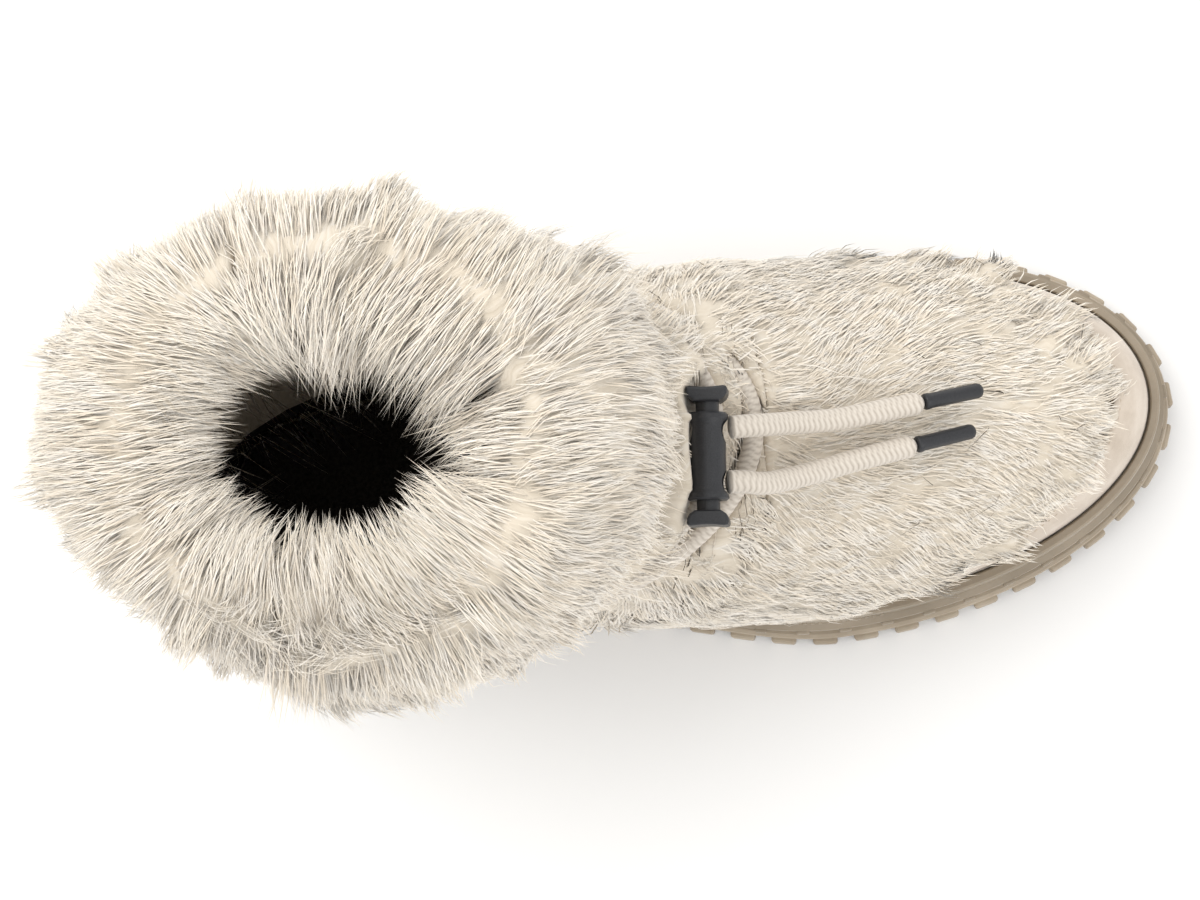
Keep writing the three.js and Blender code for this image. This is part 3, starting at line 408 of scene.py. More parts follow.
def make_fur_material(name, around, centre, reach):
    """Acrylic long pile, brushed: matt and soft, with fine combed streaks whose tint is painted light and shade of the
    locks, and roots darker than tips as painted shade deep in the pile.
    """
    material, nodes, shader = new_material(name)
    place = add_node(material, "ShaderNodeTexCoord")
    drift = add_node(
        material,
        "ShaderNodeTexNoise",
        values={"Scale": 70, "Detail": 2},
        links={"Vector": place.outputs["Object"]},
    )
    wandering = add_node(
        material,
        "ShaderNodeVectorMath",
        {"operation": "MULTIPLY_ADD"},
        {1: (0.012, 0.012, 0.012)},
        {0: drift.outputs["Color"], 2: place.outputs["Object"]},
    )
    axes = add_node(material, "ShaderNodeSeparateXYZ", links={"Vector": wandering.outputs["Vector"]})
    across_axis, along_axis = ("X", "Z") if around == "Z" else ("Z", "X")
    centred = add_node(
        material, "ShaderNodeMath", {"operation": "SUBTRACT"}, {1: centre * MM}, {0: axes.outputs[across_axis]}
    )
    angle = add_node(
        material,
        "ShaderNodeMath",
        {"operation": "ARCTAN2"},
        links={0: axes.outputs["Y"], 1: centred.outputs["Value"]},
    )
    # A lock of hairs is about 1.2 mm wide and 10 mm long
    across = add_node(
        material, "ShaderNodeMath", {"operation": "MULTIPLY"}, {1: reach / 1.2}, {0: angle.outputs["Value"]}
    )
    along = add_node(
        material, "ShaderNodeMath", {"operation": "MULTIPLY"}, {1: 1 / (10 * MM)}, {0: axes.outputs[along_axis]}
    )
    comb = add_node(
        material, "ShaderNodeCombineXYZ", links={"X": across.outputs["Value"], "Y": along.outputs["Value"]}
    )
    streak = add_node(
        material,
        "ShaderNodeTexNoise",
        values={"Scale": 1.0, "Detail": 4, "Roughness": 0.65},
        links={"Vector": comb.outputs["Vector"]},
    )
    # Roots darker than tips, and the bare body under the hairs in the roots' colour: painted shade deep in the pile
    strand = add_node(material, "ShaderNodeAttribute", {"attribute_name": "strand"})
    ramp = add_node(material, "ShaderNodeValToRGB", links={"Fac": strand.outputs["Fac"]})
    fill_ramp(ramp, [(0, linear("DED8CE")), (0.3, linear("F0E8DC")), (1, linear("FAF4EA"))])
    shade = add_node(material, "ShaderNodeAttribute", {"attribute_name": "shade"})
    half = add_node(
        material, "ShaderNodeMath", {"operation": "MULTIPLY"}, {1: 0.5}, {0: shade.outputs["Fac"]}
    )
    tone = add_node(
        material,
        "ShaderNodeMath",
        {"operation": "MULTIPLY_ADD"},
        {1: 1.1},
        {0: streak.outputs["Fac"], 2: half.outputs["Value"]},
    )
    # The streaks lighten and darken this ramp: painted light and shade of combed locks, over a random tone for each
    # lock
    streak_light_and_tone = add_node(material, "ShaderNodeValToRGB", links={"Fac": tone.outputs["Value"]})
    fill_ramp(streak_light_and_tone, [(0.5, linear("E6DFD4")), (0.76, linear("F7F2EA")), (0.94, linear("FFFFFF"))])
    mix = add_node(
        material,
        "ShaderNodeMix",
        {"data_type": "RGBA", "blend_type": "MULTIPLY"},
        {"Factor": 1.0},
        {6: ramp.outputs["Color"], 7: streak_light_and_tone.outputs["Color"]},
    )
    link(material, mix.outputs[2], shader, "Base Color")
    bump = add_node(
        material,
        "ShaderNodeBump",
        values={"Strength": 0.5, "Distance": 0.0008},
        links={"Height": streak.outputs["Fac"]},
    )
    link(material, bump.outputs["Normal"], shader, "Normal")
    shader.inputs["Roughness"].default_value = 0.8
    shader.inputs["Sheen Weight"].default_value = 0.3
    shader.inputs["Sheen Roughness"].default_value = 0.5
    shader.inputs["Specular IOR Level"].default_value = 0.2
    return material


def make_suede_material():
    """Split leather, napped: a short velvety nap, clouded where it was stroked, with fine creases."""
    material, nodes, shader = new_material("napped_suede")
    place = add_node(material, "ShaderNodeTexCoord")
    cloud = add_node(
        material,
        "ShaderNodeTexNoise",
        values={"Scale": 90, "Detail": 6, "Roughness": 0.62},
        links={"Vector": place.outputs["Object"]},
    )
    ramp = add_node(material, "ShaderNodeValToRGB", links={"Fac": cloud.outputs["Fac"]})
    fill_ramp(ramp, [(0.3, linear("BEB0A0")), (0.55, linear("CDC0B1")), (0.75, linear("D9CEC1"))])
    link(material, ramp.outputs["Color"], shader, "Base Color")
    # The nap is about 0.2 mm; it is drawn at 0.5 mm so that it shows
    nap = add_node(
        material,
        "ShaderNodeTexNoise",
        values={"Scale": 2000, "Detail": 3, "Roughness": 0.7},
        links={"Vector": place.outputs["Object"]},
    )
    bump = add_node(
        material,
        "ShaderNodeBump",
        values={"Strength": 0.5, "Distance": 0.0003},
        links={"Height": nap.outputs["Fac"]},
    )
    link(material, bump.outputs["Normal"], shader, "Normal")
    shader.inputs["Roughness"].default_value = 0.92
    shader.inputs["Sheen Weight"].default_value = 0.3
    shader.inputs["Specular IOR Level"].default_value = 0.2
    return material


def make_rubber_material(name, base, dark, roughness):
    """Moulded translucent rubber: satin, clouded a little darker at random, with a fine mould grain."""
    material, nodes, shader = new_material(name)
    place = add_node(material, "ShaderNodeTexCoord")
    cloud = add_node(
        material,
        "ShaderNodeTexNoise",
        values={"Scale": 45, "Detail": 5, "Roughness": 0.55},
        links={"Vector": place.outputs["Object"]},
    )
    ramp = add_node(material, "ShaderNodeValToRGB", links={"Fac": cloud.outputs["Fac"]})
    fill_ramp(ramp, [(0.32, linear(dark)), (0.68, linear(base))])
    link(material, ramp.outputs["Color"], shader, "Base Color")
    # Spark-eroded mould grain of 0.1 mm, drawn at 0.4 mm so that it shows
    grain = add_node(
        material,
        "ShaderNodeTexNoise",
        values={"Scale": 2500, "Detail": 2},
        links={"Vector": place.outputs["Object"]},
    )
    bump = add_node(
        material,
        "ShaderNodeBump",
        values={"Strength": 0.25, "Distance": 0.00015},
        links={"Height": grain.outputs["Fac"]},
    )
    link(material, bump.outputs["Normal"], shader, "Normal")
    shader.inputs["Roughness"].default_value = roughness
    shader.inputs["IOR"].default_value = 1.52
    shader.inputs["Subsurface Weight"].default_value = 0.12
    shader.inputs["Subsurface Radius"].default_value = (0.004, 0.003, 0.002)
    return material


def make_cord_material():
    """Polyester braid: eight-strand herringbone, coloured by the braid's height as painted shade in its grooves and
    painted light on its raised yarns.
    """
    material, nodes, shader = new_material("braided_polyester")
    # Darker where the braid is low and lighter where it is high: painted shade and painted light of the yarns
    braid = add_node(material, "ShaderNodeAttribute", {"attribute_name": "braid"})
    ramp = add_node(material, "ShaderNodeValToRGB", links={"Fac": braid.outputs["Fac"]})
    fill_ramp(ramp, [(0, linear("A99E91")), (0.45, linear("C8BFB3")), (1, linear("D9D1C6"))])
    link(material, ramp.outputs["Color"], shader, "Base Color")
    place = add_node(material, "ShaderNodeTexCoord")
    fibres = add_node(
        material,
        "ShaderNodeTexNoise",
        values={"Scale": 3500, "Detail": 2},
        links={"Vector": place.outputs["Object"]},
    )
    bump = add_node(
        material,
        "ShaderNodeBump",
        values={"Strength": 0.35, "Distance": 0.00015},
        links={"Height": fibres.outputs["Fac"]},
    )
    link(material, bump.outputs["Normal"], shader, "Normal")
    shader.inputs["Roughness"].default_value = 0.68
    shader.inputs["Sheen Weight"].default_value = 0.2
    return material


def make_plastic_material():
    """Acetal, moulded with a fine matt texture, nearly black."""
    material, nodes, shader = new_material("matt_acetal")
    place = add_node(material, "ShaderNodeTexCoord")
    texture = add_node(
        material,
        "ShaderNodeTexNoise",
        values={"Scale": 3000, "Detail": 3},
        links={"Vector": place.outputs["Object"]},
    )
    ramp = add_node(material, "ShaderNodeValToRGB", links={"Fac": texture.outputs["Fac"]})
    fill_ramp(ramp, [(0.3, linear("1B1C1F")), (0.7, linear("2A2B2F"))])
    link(material, ramp.outputs["Color"], shader, "Base Color")
    bump = add_node(
        material,
        "ShaderNodeBump",
        values={"Strength": 0.3, "Distance": 0.0001},
        links={"Height": texture.outputs["Fac"]},
    )
    link(material, bump.outputs["Normal"], shader, "Normal")
    shader.inputs["Roughness"].default_value = 0.42
    shader.inputs["IOR"].default_value = 1.48
    return material


def make_lining_material():
    """Knitted plush, black: a short dense pile that swallows light."""
    material, nodes, shader = new_material("black_plush")
    place = add_node(material, "ShaderNodeTexCoord")
    pile = add_node(
        material,
        "ShaderNodeTexNoise",
        values={"Scale": 900, "Detail": 4, "Roughness": 0.7},
        links={"Vector": place.outputs["Object"]},
    )
    ramp = add_node(material, "ShaderNodeValToRGB", links={"Fac": pile.outputs["Fac"]})
    fill_ramp(ramp, [(0.35, linear("2B2927")), (0.7, linear("484540"))])
    link(material, ramp.outputs["Color"], shader, "Base Color")
    bump = add_node(
        material,
        "ShaderNodeBump",
        values={"Strength": 0.6, "Distance": 0.0006},
        links={"Height": pile.outputs["Fac"]},
    )
    link(material, bump.outputs["Normal"], shader, "Normal")
    shader.inputs["Roughness"].default_value = 0.95
    shader.inputs["Specular IOR Level"].default_value = 0.1
    return material


def make_backing_material():
    """Knitted polyester, the ground that the pile is looped into: cream, matt, with fine courses."""
    material, nodes, shader = new_material("knitted_backing")
    place = add_node(material, "ShaderNodeTexCoord")
    # Courses every 1.4 mm, about twice the real pitch so that they show
    knit = add_node(
        material,
        "ShaderNodeTexWave",
        {"bands_direction": "Z"},
        {"Scale": 230, "Distortion": 2.5, "Detail": 2},
        {"Vector": place.outputs["Object"]},
    )
    ramp = add_node(material, "ShaderNodeValToRGB", links={"Fac": knit.outputs["Fac"]})
    fill_ramp(ramp, [(0, linear("C9BCA8")), (1, linear("E3D8C6"))])
    link(material, ramp.outputs["Color"], shader, "Base Color")
    bump = add_node(
        material,
        "ShaderNodeBump",
        values={"Strength": 0.4, "Distance": 0.0003},
        links={"Height": knit.outputs["Fac"]},
    )
    link(material, bump.outputs["Normal"], shader, "Normal")
    shader.inputs["Roughness"].default_value = 0.9
    return material


# Pile


def smoothed_copy(node, voxel, rounds):
    """A CAD node's solid remeshed finely and smoothed, as a new mesh."""
    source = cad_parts[node]
    copy = bpy.data.objects.new("work_" + node, source.data.copy())
    bpy.context.scene.collection.objects.link(copy)
    remesh = copy.modifiers.new("remesh", "REMESH")
    remesh.mode = "VOXEL"
    remesh.voxel_size = voxel * MM
    soften = copy.modifiers.new("soften", "SMOOTH")
    soften.factor = 0.6
    soften.iterations = rounds
    swell = copy.modifiers.new("swell", "DISPLACE")
    swell.strength = SWELL * MM
    swell.mid_level = 0
    depsgraph = bpy.context.evaluated_depsgraph_get()
    mesh = bpy.data.meshes.new_from_object(copy.evaluated_get(depsgraph))
    bpy.data.objects.remove(copy)
    return mesh


def triangles_of(mesh):
    """A mesh's triangles, its vertices' places and the way that each vertex faces."""
    mesh.calc_loop_triangles()
    corners = np.empty(len(mesh.loop_triangles) * 3, dtype=np.int32)
    mesh.loop_triangles.foreach_get("vertices", corners)
    places = np.empty(len(mesh.vertices) * 3)
    mesh.vertices.foreach_get("co", places)
    facings = np.empty(len(mesh.vertices) * 3, dtype=np.float32)
    mesh.vertex_normals.foreach_get("vector", facings)
    return corners.reshape(-1, 3), places.reshape(-1, 3), facings.reshape(-1, 3)


def sample_surface(mesh, count, rng):
    """Points spread evenly over a mesh's area, with their normals, in metres."""
    corners, places, _ = triangles_of(mesh)
    a, b, c = (places[corners[:, k]] for k in range(3))
    normal = np.cross(b - a, c - a)
    area = np.linalg.norm(normal, axis=1)
    picked = rng.choice(len(area), size=count, p=area / area.sum())
    u = np.sqrt(rng.random(count))
    v = rng.random(count)
    weights = np.stack([1 - u, u * (1 - v), u * v], axis=1)
    points = sum(weights[:, k : k + 1] * corner[picked] for k, corner in enumerate((a, b, c)))
    return points, normal[picked] / area[picked][:, None]


def unit(vectors):
    return vectors / np.maximum(np.linalg.norm(vectors, axis=1), 1e-9)[:, None]


def along_surface(direction, normal):
    return unit(direction - normal * (direction * normal).sum(axis=1)[:, None])


def wave(points, size, phase):
    """A smooth field from -1 to 1 that changes over about `size` millimetres."""
    p = points / (size * MM)
    x, y, z = p[:, 0], p[:, 1], p[:, 2]
    field = np.sin(x + 1.7 * np.sin(y * 0.9 + phase) + phase) + np.sin(1.3 * y + 1.4 * np.sin(z * 1.1 + phase))
    return (field + np.sin(1.1 * z - x * 0.7 + 2 * phase)) / 3


def turned(direction, normal, angle):
    """Directions turned about their normals."""
    c, s = np.cos(angle)[:, None], np.sin(angle)[:, None]
    return direction * c + np.cross(normal, direction) * s


def past_crest(points):
    """How far outside of the cuff's crest a point is, in millimetres."""
    reach = np.hypot(points[:, 0] / MM - CREST_CENTRE[0], points[:, 1] / MM - CREST_CENTRE[1])
    return reach - CREST_RADIUS - 3 * wave(points, 14, 0.6)


def cuff_flow(points, normal):
    """Hair parts along the cuff's crest: it falls outwards outside of it, and into the boot inside."""
    radial = points - np.array([CREST_CENTRE[0] * MM, CREST_CENTRE[1] * MM, 0])
    radial[:, 2] = 0
    radial = unit(radial)
    either_way = 5 * wave(points, 0.8, 5.0)
    outside = np.sign(past_crest(points) + either_way)[:, None]
    fall = np.clip(1 - normal[:, 2:3], 0, 1.2) * np.array([0.05, -0.03, -1.0])
    return along_surface(radial * outside * 0.7 + fall, normal)


def inward_reach(points):
    """How much longer the hairs inside the crest are: most on the front inner side, where they hide the opening."""
    turn = np.arctan2(points[:, 1] / MM - CREST_CENTRE[1], points[:, 0] / MM - CREST_CENTRE[0])
    facing = np.clip(np.cos(turn - LONG_SIDE), 0, 1)
    return smooth(-past_crest(points), -2, 8) * (0.25 + LONG_SHARE * facing)


def vamp_flow(points, normal):
    """Hair on the vamp runs to the toe and fans out to both sides."""
    fan = np.stack([np.full(len(points), 1.0), points[:, 1] / (45 * MM), np.full(len(points), -0.25)], axis=1)
    return along_surface(fan, normal)


def shaft_flow(points, normal):
    """Hair on the ankle falls, and leans forward over the instep."""
    fall = np.tile([0.25, 0.0, -1.0], (len(points), 1))
    return along_surface(fall, normal)


def hair_arrays(root, flow, normal, lit_as, length, width, lift, rng):
    """Bent tapering hairs with three sides and closed roots, as vertices, faces, strand and shade values."""
    n = len(root)
    side = np.cross(normal, flow)
    lean = np.maximum(lift + rng.normal(0, 0.1, n), 0.1)
    curl = rng.normal(0, 0.16, n)[:, None]
    first = unit(flow * np.cos(lean)[:, None] + normal * np.sin(lean)[:, None] + side * curl * 0.5)
    droop = lean * 0.12
    last = unit(flow * np.cos(droop)[:, None] + normal * np.sin(droop)[:, None] + side * curl)
    middle = root + first * length[:, None] * 0.45
    tip = middle + last * length[:, None] * 0.55
    group = np.arange(n) // CLUMP
    pulled = np.zeros_like(tip)
    counts = np.bincount(group)
    for axis in range(3):
        pulled[:, axis] = (np.bincount(group, weights=tip[:, axis]) / counts)[group]
    tip = lerp(tip, pulled, 0.35)
    middle = lerp(middle, pulled, 0.1)
    base = root - normal * 0.8 * MM
    corners = [math.radians(a) for a in (90, 210, 330)]
    rings, facings = [], []
    for centre, size in ((base, 0.5), (middle, 0.42)):
        for a in corners:
            round_it = side * math.cos(a) + normal * math.sin(a) * FLATTENED
            rings.append(centre + round_it * (width * size)[:, None])
            facings.append(unit(lit_as + side * (math.cos(a) * ROUNDED)))
    facings.append(unit(lit_as + flow * ROUNDED))
    vertices = np.stack([*rings, tip], axis=1).reshape(-1, 3)
    normals = np.stack(facings, axis=1).reshape(-1, 3)
    pattern = np.array(
        [
            [0, 2, 1],
            [0, 1, 4],
            [0, 4, 3],
            [1, 2, 5],
            [1, 5, 4],
            [2, 0, 3],
            [2, 3, 5],
            [3, 4, 6],
            [4, 5, 6],
            [5, 3, 6],
        ]
    )
    faces = (np.arange(n)[:, None, None] * 7 + pattern[None]).reshape(-1, 3)
    # Strand runs from 0 at the root to 1 at the tip, so roots take a darker colour as painted shade deep in the pile;
    # shade is a random tone for each lock and hair
    strand = np.tile([0, 0, 0, 0.6, 0.6, 0.6, 1.0], n)
    shade = np.clip(rng.normal(0.55, 0.1, counts.size)[group] + rng.normal(0, 0.06, n), 0, 1)
    return vertices, faces, normals, strand, np.repeat(shade, 7)


def mesh_of_arrays(name, vertices, faces):
    mesh = bpy.data.meshes.new(name)
    mesh.vertices.add(len(vertices))
    mesh.vertices.foreach_set("co", vertices.astype(np.float32).ravel())
    mesh.loops.add(faces.size)
    mesh.loops.foreach_set("vertex_index", faces.astype(np.int32).ravel())
    mesh.polygons.add(len(faces))
    mesh.polygons.foreach_set("loop_start", np.arange(len(faces), dtype=np.int32) * faces.shape[1])
    mesh.update(calc_edges=True)
    mesh.validate()
    return mesh


def set_attribute(mesh, name, values):
    layer = mesh.attributes.new(name, "FLOAT", "POINT")
    layer.data.foreach_set("value", values.astype(np.float32))


# How each fur piece is dressed: hair flow, count, length, width and lift at the root, and its body's voxel
FUR_PIECES = {
    "cuff_front": {"flow": cuff_flow, "hairs": 18000, "length": 14, "width": 0.36, "lift": 0.42, "voxel": 2.6},
    "cuff_back": {"flow": cuff_flow, "hairs": 18000, "length": 14, "width": 0.36, "lift": 0.42, "voxel": 2.6},
    "shaft_fur": {"flow": shaft_flow, "hairs": 16000, "length": 13, "width": 0.5, "lift": 0.3, "voxel": 2.3, "level": 0.1},
    "vamp_fur": {"flow": vamp_flow, "hairs": 16500, "length": 8.5, "width": 0.46, "lift": 0.24, "voxel": 1.7, "level": 0.6},
}
CLUMP = 10
CLUMP_SPREAD = 1.8
CREST_CENTRE = (30, -3)
CREST_RADIUS = 49
LONG_SIDE = math.radians(40)
LONG_SHARE = 1.1
FLATTENED = 0.4
ROUNDED = 0.2
HIGHEST_HAIR = 12
LOCK_ROOM = 2.4
INSTEP_FROM = 88
SWELL = 0.35


def nearest_distances(points, tree):
    return np.array([tree.find_nearest(Vector(p))[3] for p in points])


def dress(node, spec, trees, scale, rng):
    """A smooth body with hairs on every face that shows, and the way that each vertex faces."""
    shell, parts, guard, lock = trees
    body = smoothed_copy(node, spec["voxel"], 2)
    centres, normal = sample_surface(body, int(spec["hairs"] / CLUMP * 4), rng)
    # Faces that lie against the shell, or look down, stay bare
    from_shell = nearest_distances(centres, shell)
    opening_out = nearest_distances(centres + normal * 1.5 * MM, shell) - from_shell
    shown = (opening_out > 0.4 * MM) & (from_shell > 1.5 * MM) & (normal[:, 2] > -0.55)
    lit_as = normal
    if spec["flow"] is not cuff_flow:
        # On the foot and ankle the shell under the pile gives the light a calmer surface
        under = np.array([shell.find_nearest(Vector(p))[1][:] for p in centres])
        under = unit(under * np.sign((under * normal).sum(axis=1))[:, None])
        level = (under * normal).sum(axis=1)
        if spec["flow"] is shaft_flow:
            shown |= (from_shell > 4 * MM) & (normal[:, 2] > 0.3)
        shown &= level > spec["level"]
        calm = 0.7 * np.clip((level - 0.4) / 0.4, 0, 1)[:, None]
        lit_as = unit(under * calm + normal * (1 - calm))
    if spec["flow"] is cuff_flow:
        at_crest = (np.abs(past_crest(centres)) < 10) & (normal[:, 2] > 0.5)
        shown &= at_crest | (rng.random(len(centres)) < 0.55)
    # Hairs are short at the instep, beside the lock, so more of them grow there
    at_instep = (centres[:, 0] > INSTEP_FROM * MM) & (spec["flow"] is shaft_flow)
    order = np.argsort(~at_instep[shown], kind="stable")[: spec["hairs"] // CLUMP]
    centres, normal, lit_as = (v[shown][order] for v in (centres, normal, lit_as))
    flow = spec["flow"](centres, normal)
    flow = turned(flow, normal, 0.45 * wave(centres, 13, 1.3) + 0.15 * wave(centres, 5, 4.0))
    centres, normal, lit_as, flow = (np.repeat(v, CLUMP, axis=0) for v in (centres, normal, lit_as, flow))
    n = len(centres)
    spread = rng.normal(0, 1, (n, 2)) * CLUMP_SPREAD * MM
    side = np.cross(normal, flow)
    root = centres + flow * spread[:, :1] + side * spread[:, 1:]
    length = spec["length"] * scale * rng.uniform(0.6, 1.15, n) * MM
    length *= 1 + 0.2 * np.repeat(wave(centres[::CLUMP], 12, 2.2), CLUMP)
    room = nearest_distances(root, parts)
    lift = spec["lift"] * (0.5 + 0.5 * np.clip(room / (8 * MM), 0, 1))
    if spec["flow"] is cuff_flow:
        length *= 1 + inward_reach(root)
        lift = lift + 0.06 * np.exp(-((past_crest(root) / 7) ** 2))
    length = np.minimum(length, room * 1.3 + 2.4 * MM)
    length = np.minimum(length, np.maximum(nearest_distances(root, lock) - LOCK_ROOM * MM, 0))
    length = np.minimum(length, nearest_distances(root, guard) * 0.7 + 2.2 * MM)
    longer = (room > 0.6 * MM) & (length > 1.5 * MM)
    picked = np.where(longer)[0]
    width = spec["width"] * rng.uniform(0.75, 1.2, len(picked)) * MM
    vertices, faces, normals, strand, shade = hair_arrays(
        root[picked], flow[picked], normal[picked], lit_as[picked], length[picked], width, lift[picked], rng
    )
    vertices[:, 2] = np.minimum(vertices[:, 2], CAD_BOX[1][2] + HIGHEST_HAIR * MM)
    corners, places, facings = triangles_of(body)
    mesh = mesh_of_arrays(
        node + "_pile", np.vstack([places, vertices]), np.vstack([corners, faces + len(places)])
    )
    # The body under the hairs takes the roots' colour and a low shade value of 0.3, which darken it as painted shade
    # under the hairs
    set_attribute(mesh, "strand", np.concatenate([np.zeros(len(places)), strand]))
    set_attribute(mesh, "shade", np.concatenate([np.full(len(places), 0.3), shade]))
    # Hairs are lit as the pile's own surface is, so that they don't darken at their edges
    return mesh, np.vstack([facings, normals])


# The lock, the cord and its free ends, which the hairs keep clear of
LOCK_PARTS = ("lock_barrel", "lock_button_inner", "lock_button_outer")
SMALL_PARTS = (
    *LOCK_PARTS,
    "drawcord",
    "cord_end_inner",
    "cord_end_outer",
    "cord_tip_inner",
    "cord_tip_outer",
)


def tree_of(names):
    """A search tree over the faces of CAD nodes."""
    bm = bmesh.new()
    for name in names:
        bm.from_mesh(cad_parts[name].data)
    tree = BVHTree.FromBMesh(bm)
    bm.free()
    return tree


class BOOT_OT_fur(Operator):
    """Dresses the cuff, ankle and vamp in long pile"""

    bl_idname = "boot.fur"
    bl_label = "Fur"

    def execute(self, context):
        sizes = context.scene.boot_sizes
        upright = make_fur_material("brushed_pile_upright", "Z", SHAFT_CENTRE, 60)
        lying = make_fur_material("brushed_pile_lying", "X", BALL_SEAT, 45)
        trees = (tree_of(["upper"]), tree_of(SMALL_PARTS), tree_of(["toe_mudguard"]), tree_of(LOCK_PARTS))
        for k, (node, spec) in enumerate(FUR_PIECES.items()):
            rng = np.random.default_rng(SEED + k)
            mesh, facings = dress(node, spec, trees, sizes.pile_scale, rng)
            material = lying if node == "vamp_fur" else upright
            add_piece(node + "_pile", mesh, material, replaced=[node])
            mesh.normals_split_custom_set_from_vertices(facings)
        return {"FINISHED"}


# Sole


def plan_points(plan, height):
    return [Vector((x, y, height + spring(x))) for x, y in plan]


def make_outsole_mesh():
    """A plate with a row of lugs along its edge and chevrons under the heel and the ball."""
    plan = outline(0)
    bm = bmesh.new()
    rings = [
        plan_points(offset(plan, -1), LUG_DEPTH),
        plan_points(offset(plan, -0.1), LUG_DEPTH + 1),
        plan_points(plan, PLATE_TOP - 1.2),
        plan_points(offset(plan, -0.3), PLATE_TOP - 0.4),
        plan_points(offset(plan, -1.2), PLATE_TOP),
    ]
    add_loft(bm, rings)
    for point, out in spaced(plan, LUG_PITCH):
        inner = point + out * (LUG_PROUD / 2 - 0.75 * LUG_WIDTH)
        lift = float(spring(inner[0]))
        add_block(bm, inner, out, (LUG_WIDTH, LUG_PROUD + 1.5 * LUG_WIDTH, PLATE_TOP - 2), lift, 0.8)
    bar = HEEL_HALF_WIDTH * 0.42
    for x in np.arange(-2 * LUG_PITCH, TOE_X - 3 * LUG_WIDTH, 2 * LUG_PITCH):
        if HEEL_BACK < x < WAIST_AT + LUG_PITCH:
            continue
        for side in (-1, 1):
            out = np.array([0.9, side * 0.43])
            add_block(bm, (x, side * (bar / 2 - 1)), out, (bar, LUG_WIDTH, LUG_DEPTH + 1), float(spring(x)), 0.6)
    return mesh_from(bm, "outsole_moulding")


MIDSOLE_WALL = [(0.66, 0), (0.62, 0.36), (0.74, 0.42), (0.72, 0.5), (0.46, 0.56), (0.4, 0.9), (0.46, 0.97)]


def make_midsole_mesh():
    """A cup sole: a step, a ribbed band and a thin lip that the upper stands in."""
    outer = outline(0)
    inner = offset(outline(FLANGE), GAP)
    bottom = PLATE_TOP + GAP

    def ring(reach, level, lift=0.0):
        plan = lerp(inner, outer, reach)
        return [
            Vector((x, y, lerp(bottom + spring(x), seat(x), level) + lift)) for x, y in plan
        ]

    bm = bmesh.new()
    rings = [ring(reach, level) for reach, level in MIDSOLE_WALL]
    rings.append(ring(0.42, 1, LIP_HEIGHT * 0.8))
    rings.append(ring(0.34, 1, LIP_HEIGHT))
    rings.append(ring(0.08, 1, LIP_HEIGHT))
    rings.append(ring(0.02, 1, LIP_HEIGHT * 0.8))
    rings.append(ring(0, 1))
    add_loft(bm, rings)
    wall = BALL_SEAT - bottom
    for point, out in spaced(lerp(inner, outer, 0.62), LUG_PITCH):
        if point[0] > BALL_OUTER_AT / 2 + LUG_PITCH * 3:
            lift = bottom + wall * 0.12 + float(spring(point[0]))
            add_block(bm, point + out * 0.35, out, (TOOTH_WIDTH, 2.7, wall * 0.33), lift, 0.5)
    for point, out in spaced(lerp(inner, outer, 0.43), RIB_PITCH):
        if WAIST_AT * 0.4 < point[0] < BALL_OUTER_AT * 1.1:
            low = lerp(bottom, float(seat(point[0])), 0.6)
            high = lerp(bottom, float(seat(point[0])), 0.88)
            add_block(bm, point, out, (RIB_WIDTH, 1.1, high - low), low, 0.25)
    return mesh_from(bm, "midsole_moulding")


class BOOT_OT_sole(Operator):
    """Moulds the outsole and the cup-shaped midsole"""

    bl_idname = "boot.sole"
    bl_label = "Sole"

    def execute(self, context):
        outsole = make_rubber_material("moulded_rubber_tread", "B1A491", "978976", 0.55)
        # The cup's colours are darker than the tread's: partly the rubber's own colour, partly painted shade on its
        # sidewall
        midsole = make_rubber_material("moulded_rubber_cup", "9C8F7D", "867A68", 0.48)
        add_piece("outsole_moulding", make_outsole_mesh(), outsole, replaced=["outsole"], shade_smooth=False)
        add_piece("midsole_moulding", make_midsole_mesh(), midsole, replaced=["midsole"], shade_smooth=False)
        return {"FINISHED"}


# Toe guard


def guard_rows(by):
    """Rows of points from the feather edge up to the guard's line, along the plan from back to back."""
    plan = offset(outline(FLANGE), -SUEDE - GAP)
    out = offset(plan, 1) - plan
    count = len(plan)
    order = sorted(
        (k for k in range(count) if plan[k][0] > GUARD_BACK),
        key=lambda k: (k + count // 2) % count,
    )
    columns = []
    for k in order:
        x = plan[k][0]
        low = foot_point(plan[k], out[k], 0, by)
        top = foot_point(plan[k], out[k], 1, by).z
        share = min(max((guard_line(x) - GAP - low.z) / (top - low.z), 0.02), 0.98)
        columns.append([foot_point(plan[k], out[k], share * i / 10, by) for i in range(11)])
    return columns


def make_guard_mesh():
    """A suede band round the toe, solidified to the suede's thickness."""
    columns = guard_rows(GAP + SUEDE)
    bm = bmesh.new()
    grid = [[bm.verts.new(p + Vector((0, 0, GAP if i == 0 else 0))) for i, p in enumerate(c)] for c in columns]
    for a, b in zip(grid, grid[1:]):
        for i in range(10):
            bm.faces.new((a[i], b[i], b[i + 1], a[i + 1]))
    bmesh.ops.recalc_face_normals(bm, faces=bm.faces)
    tip = max(bm.faces, key=lambda f: f.calc_center_median().x)
    if tip.normal.x < 0:
        bmesh.ops.reverse_faces(bm, faces=bm.faces)
    bmesh.ops.solidify(bm, geom=bm.faces[:], thickness=SUEDE)
    return mesh_from(bm, "toe_guard")


STITCH_PITCH = 2.4
STITCH_ROWS = (2.2, 4.6)


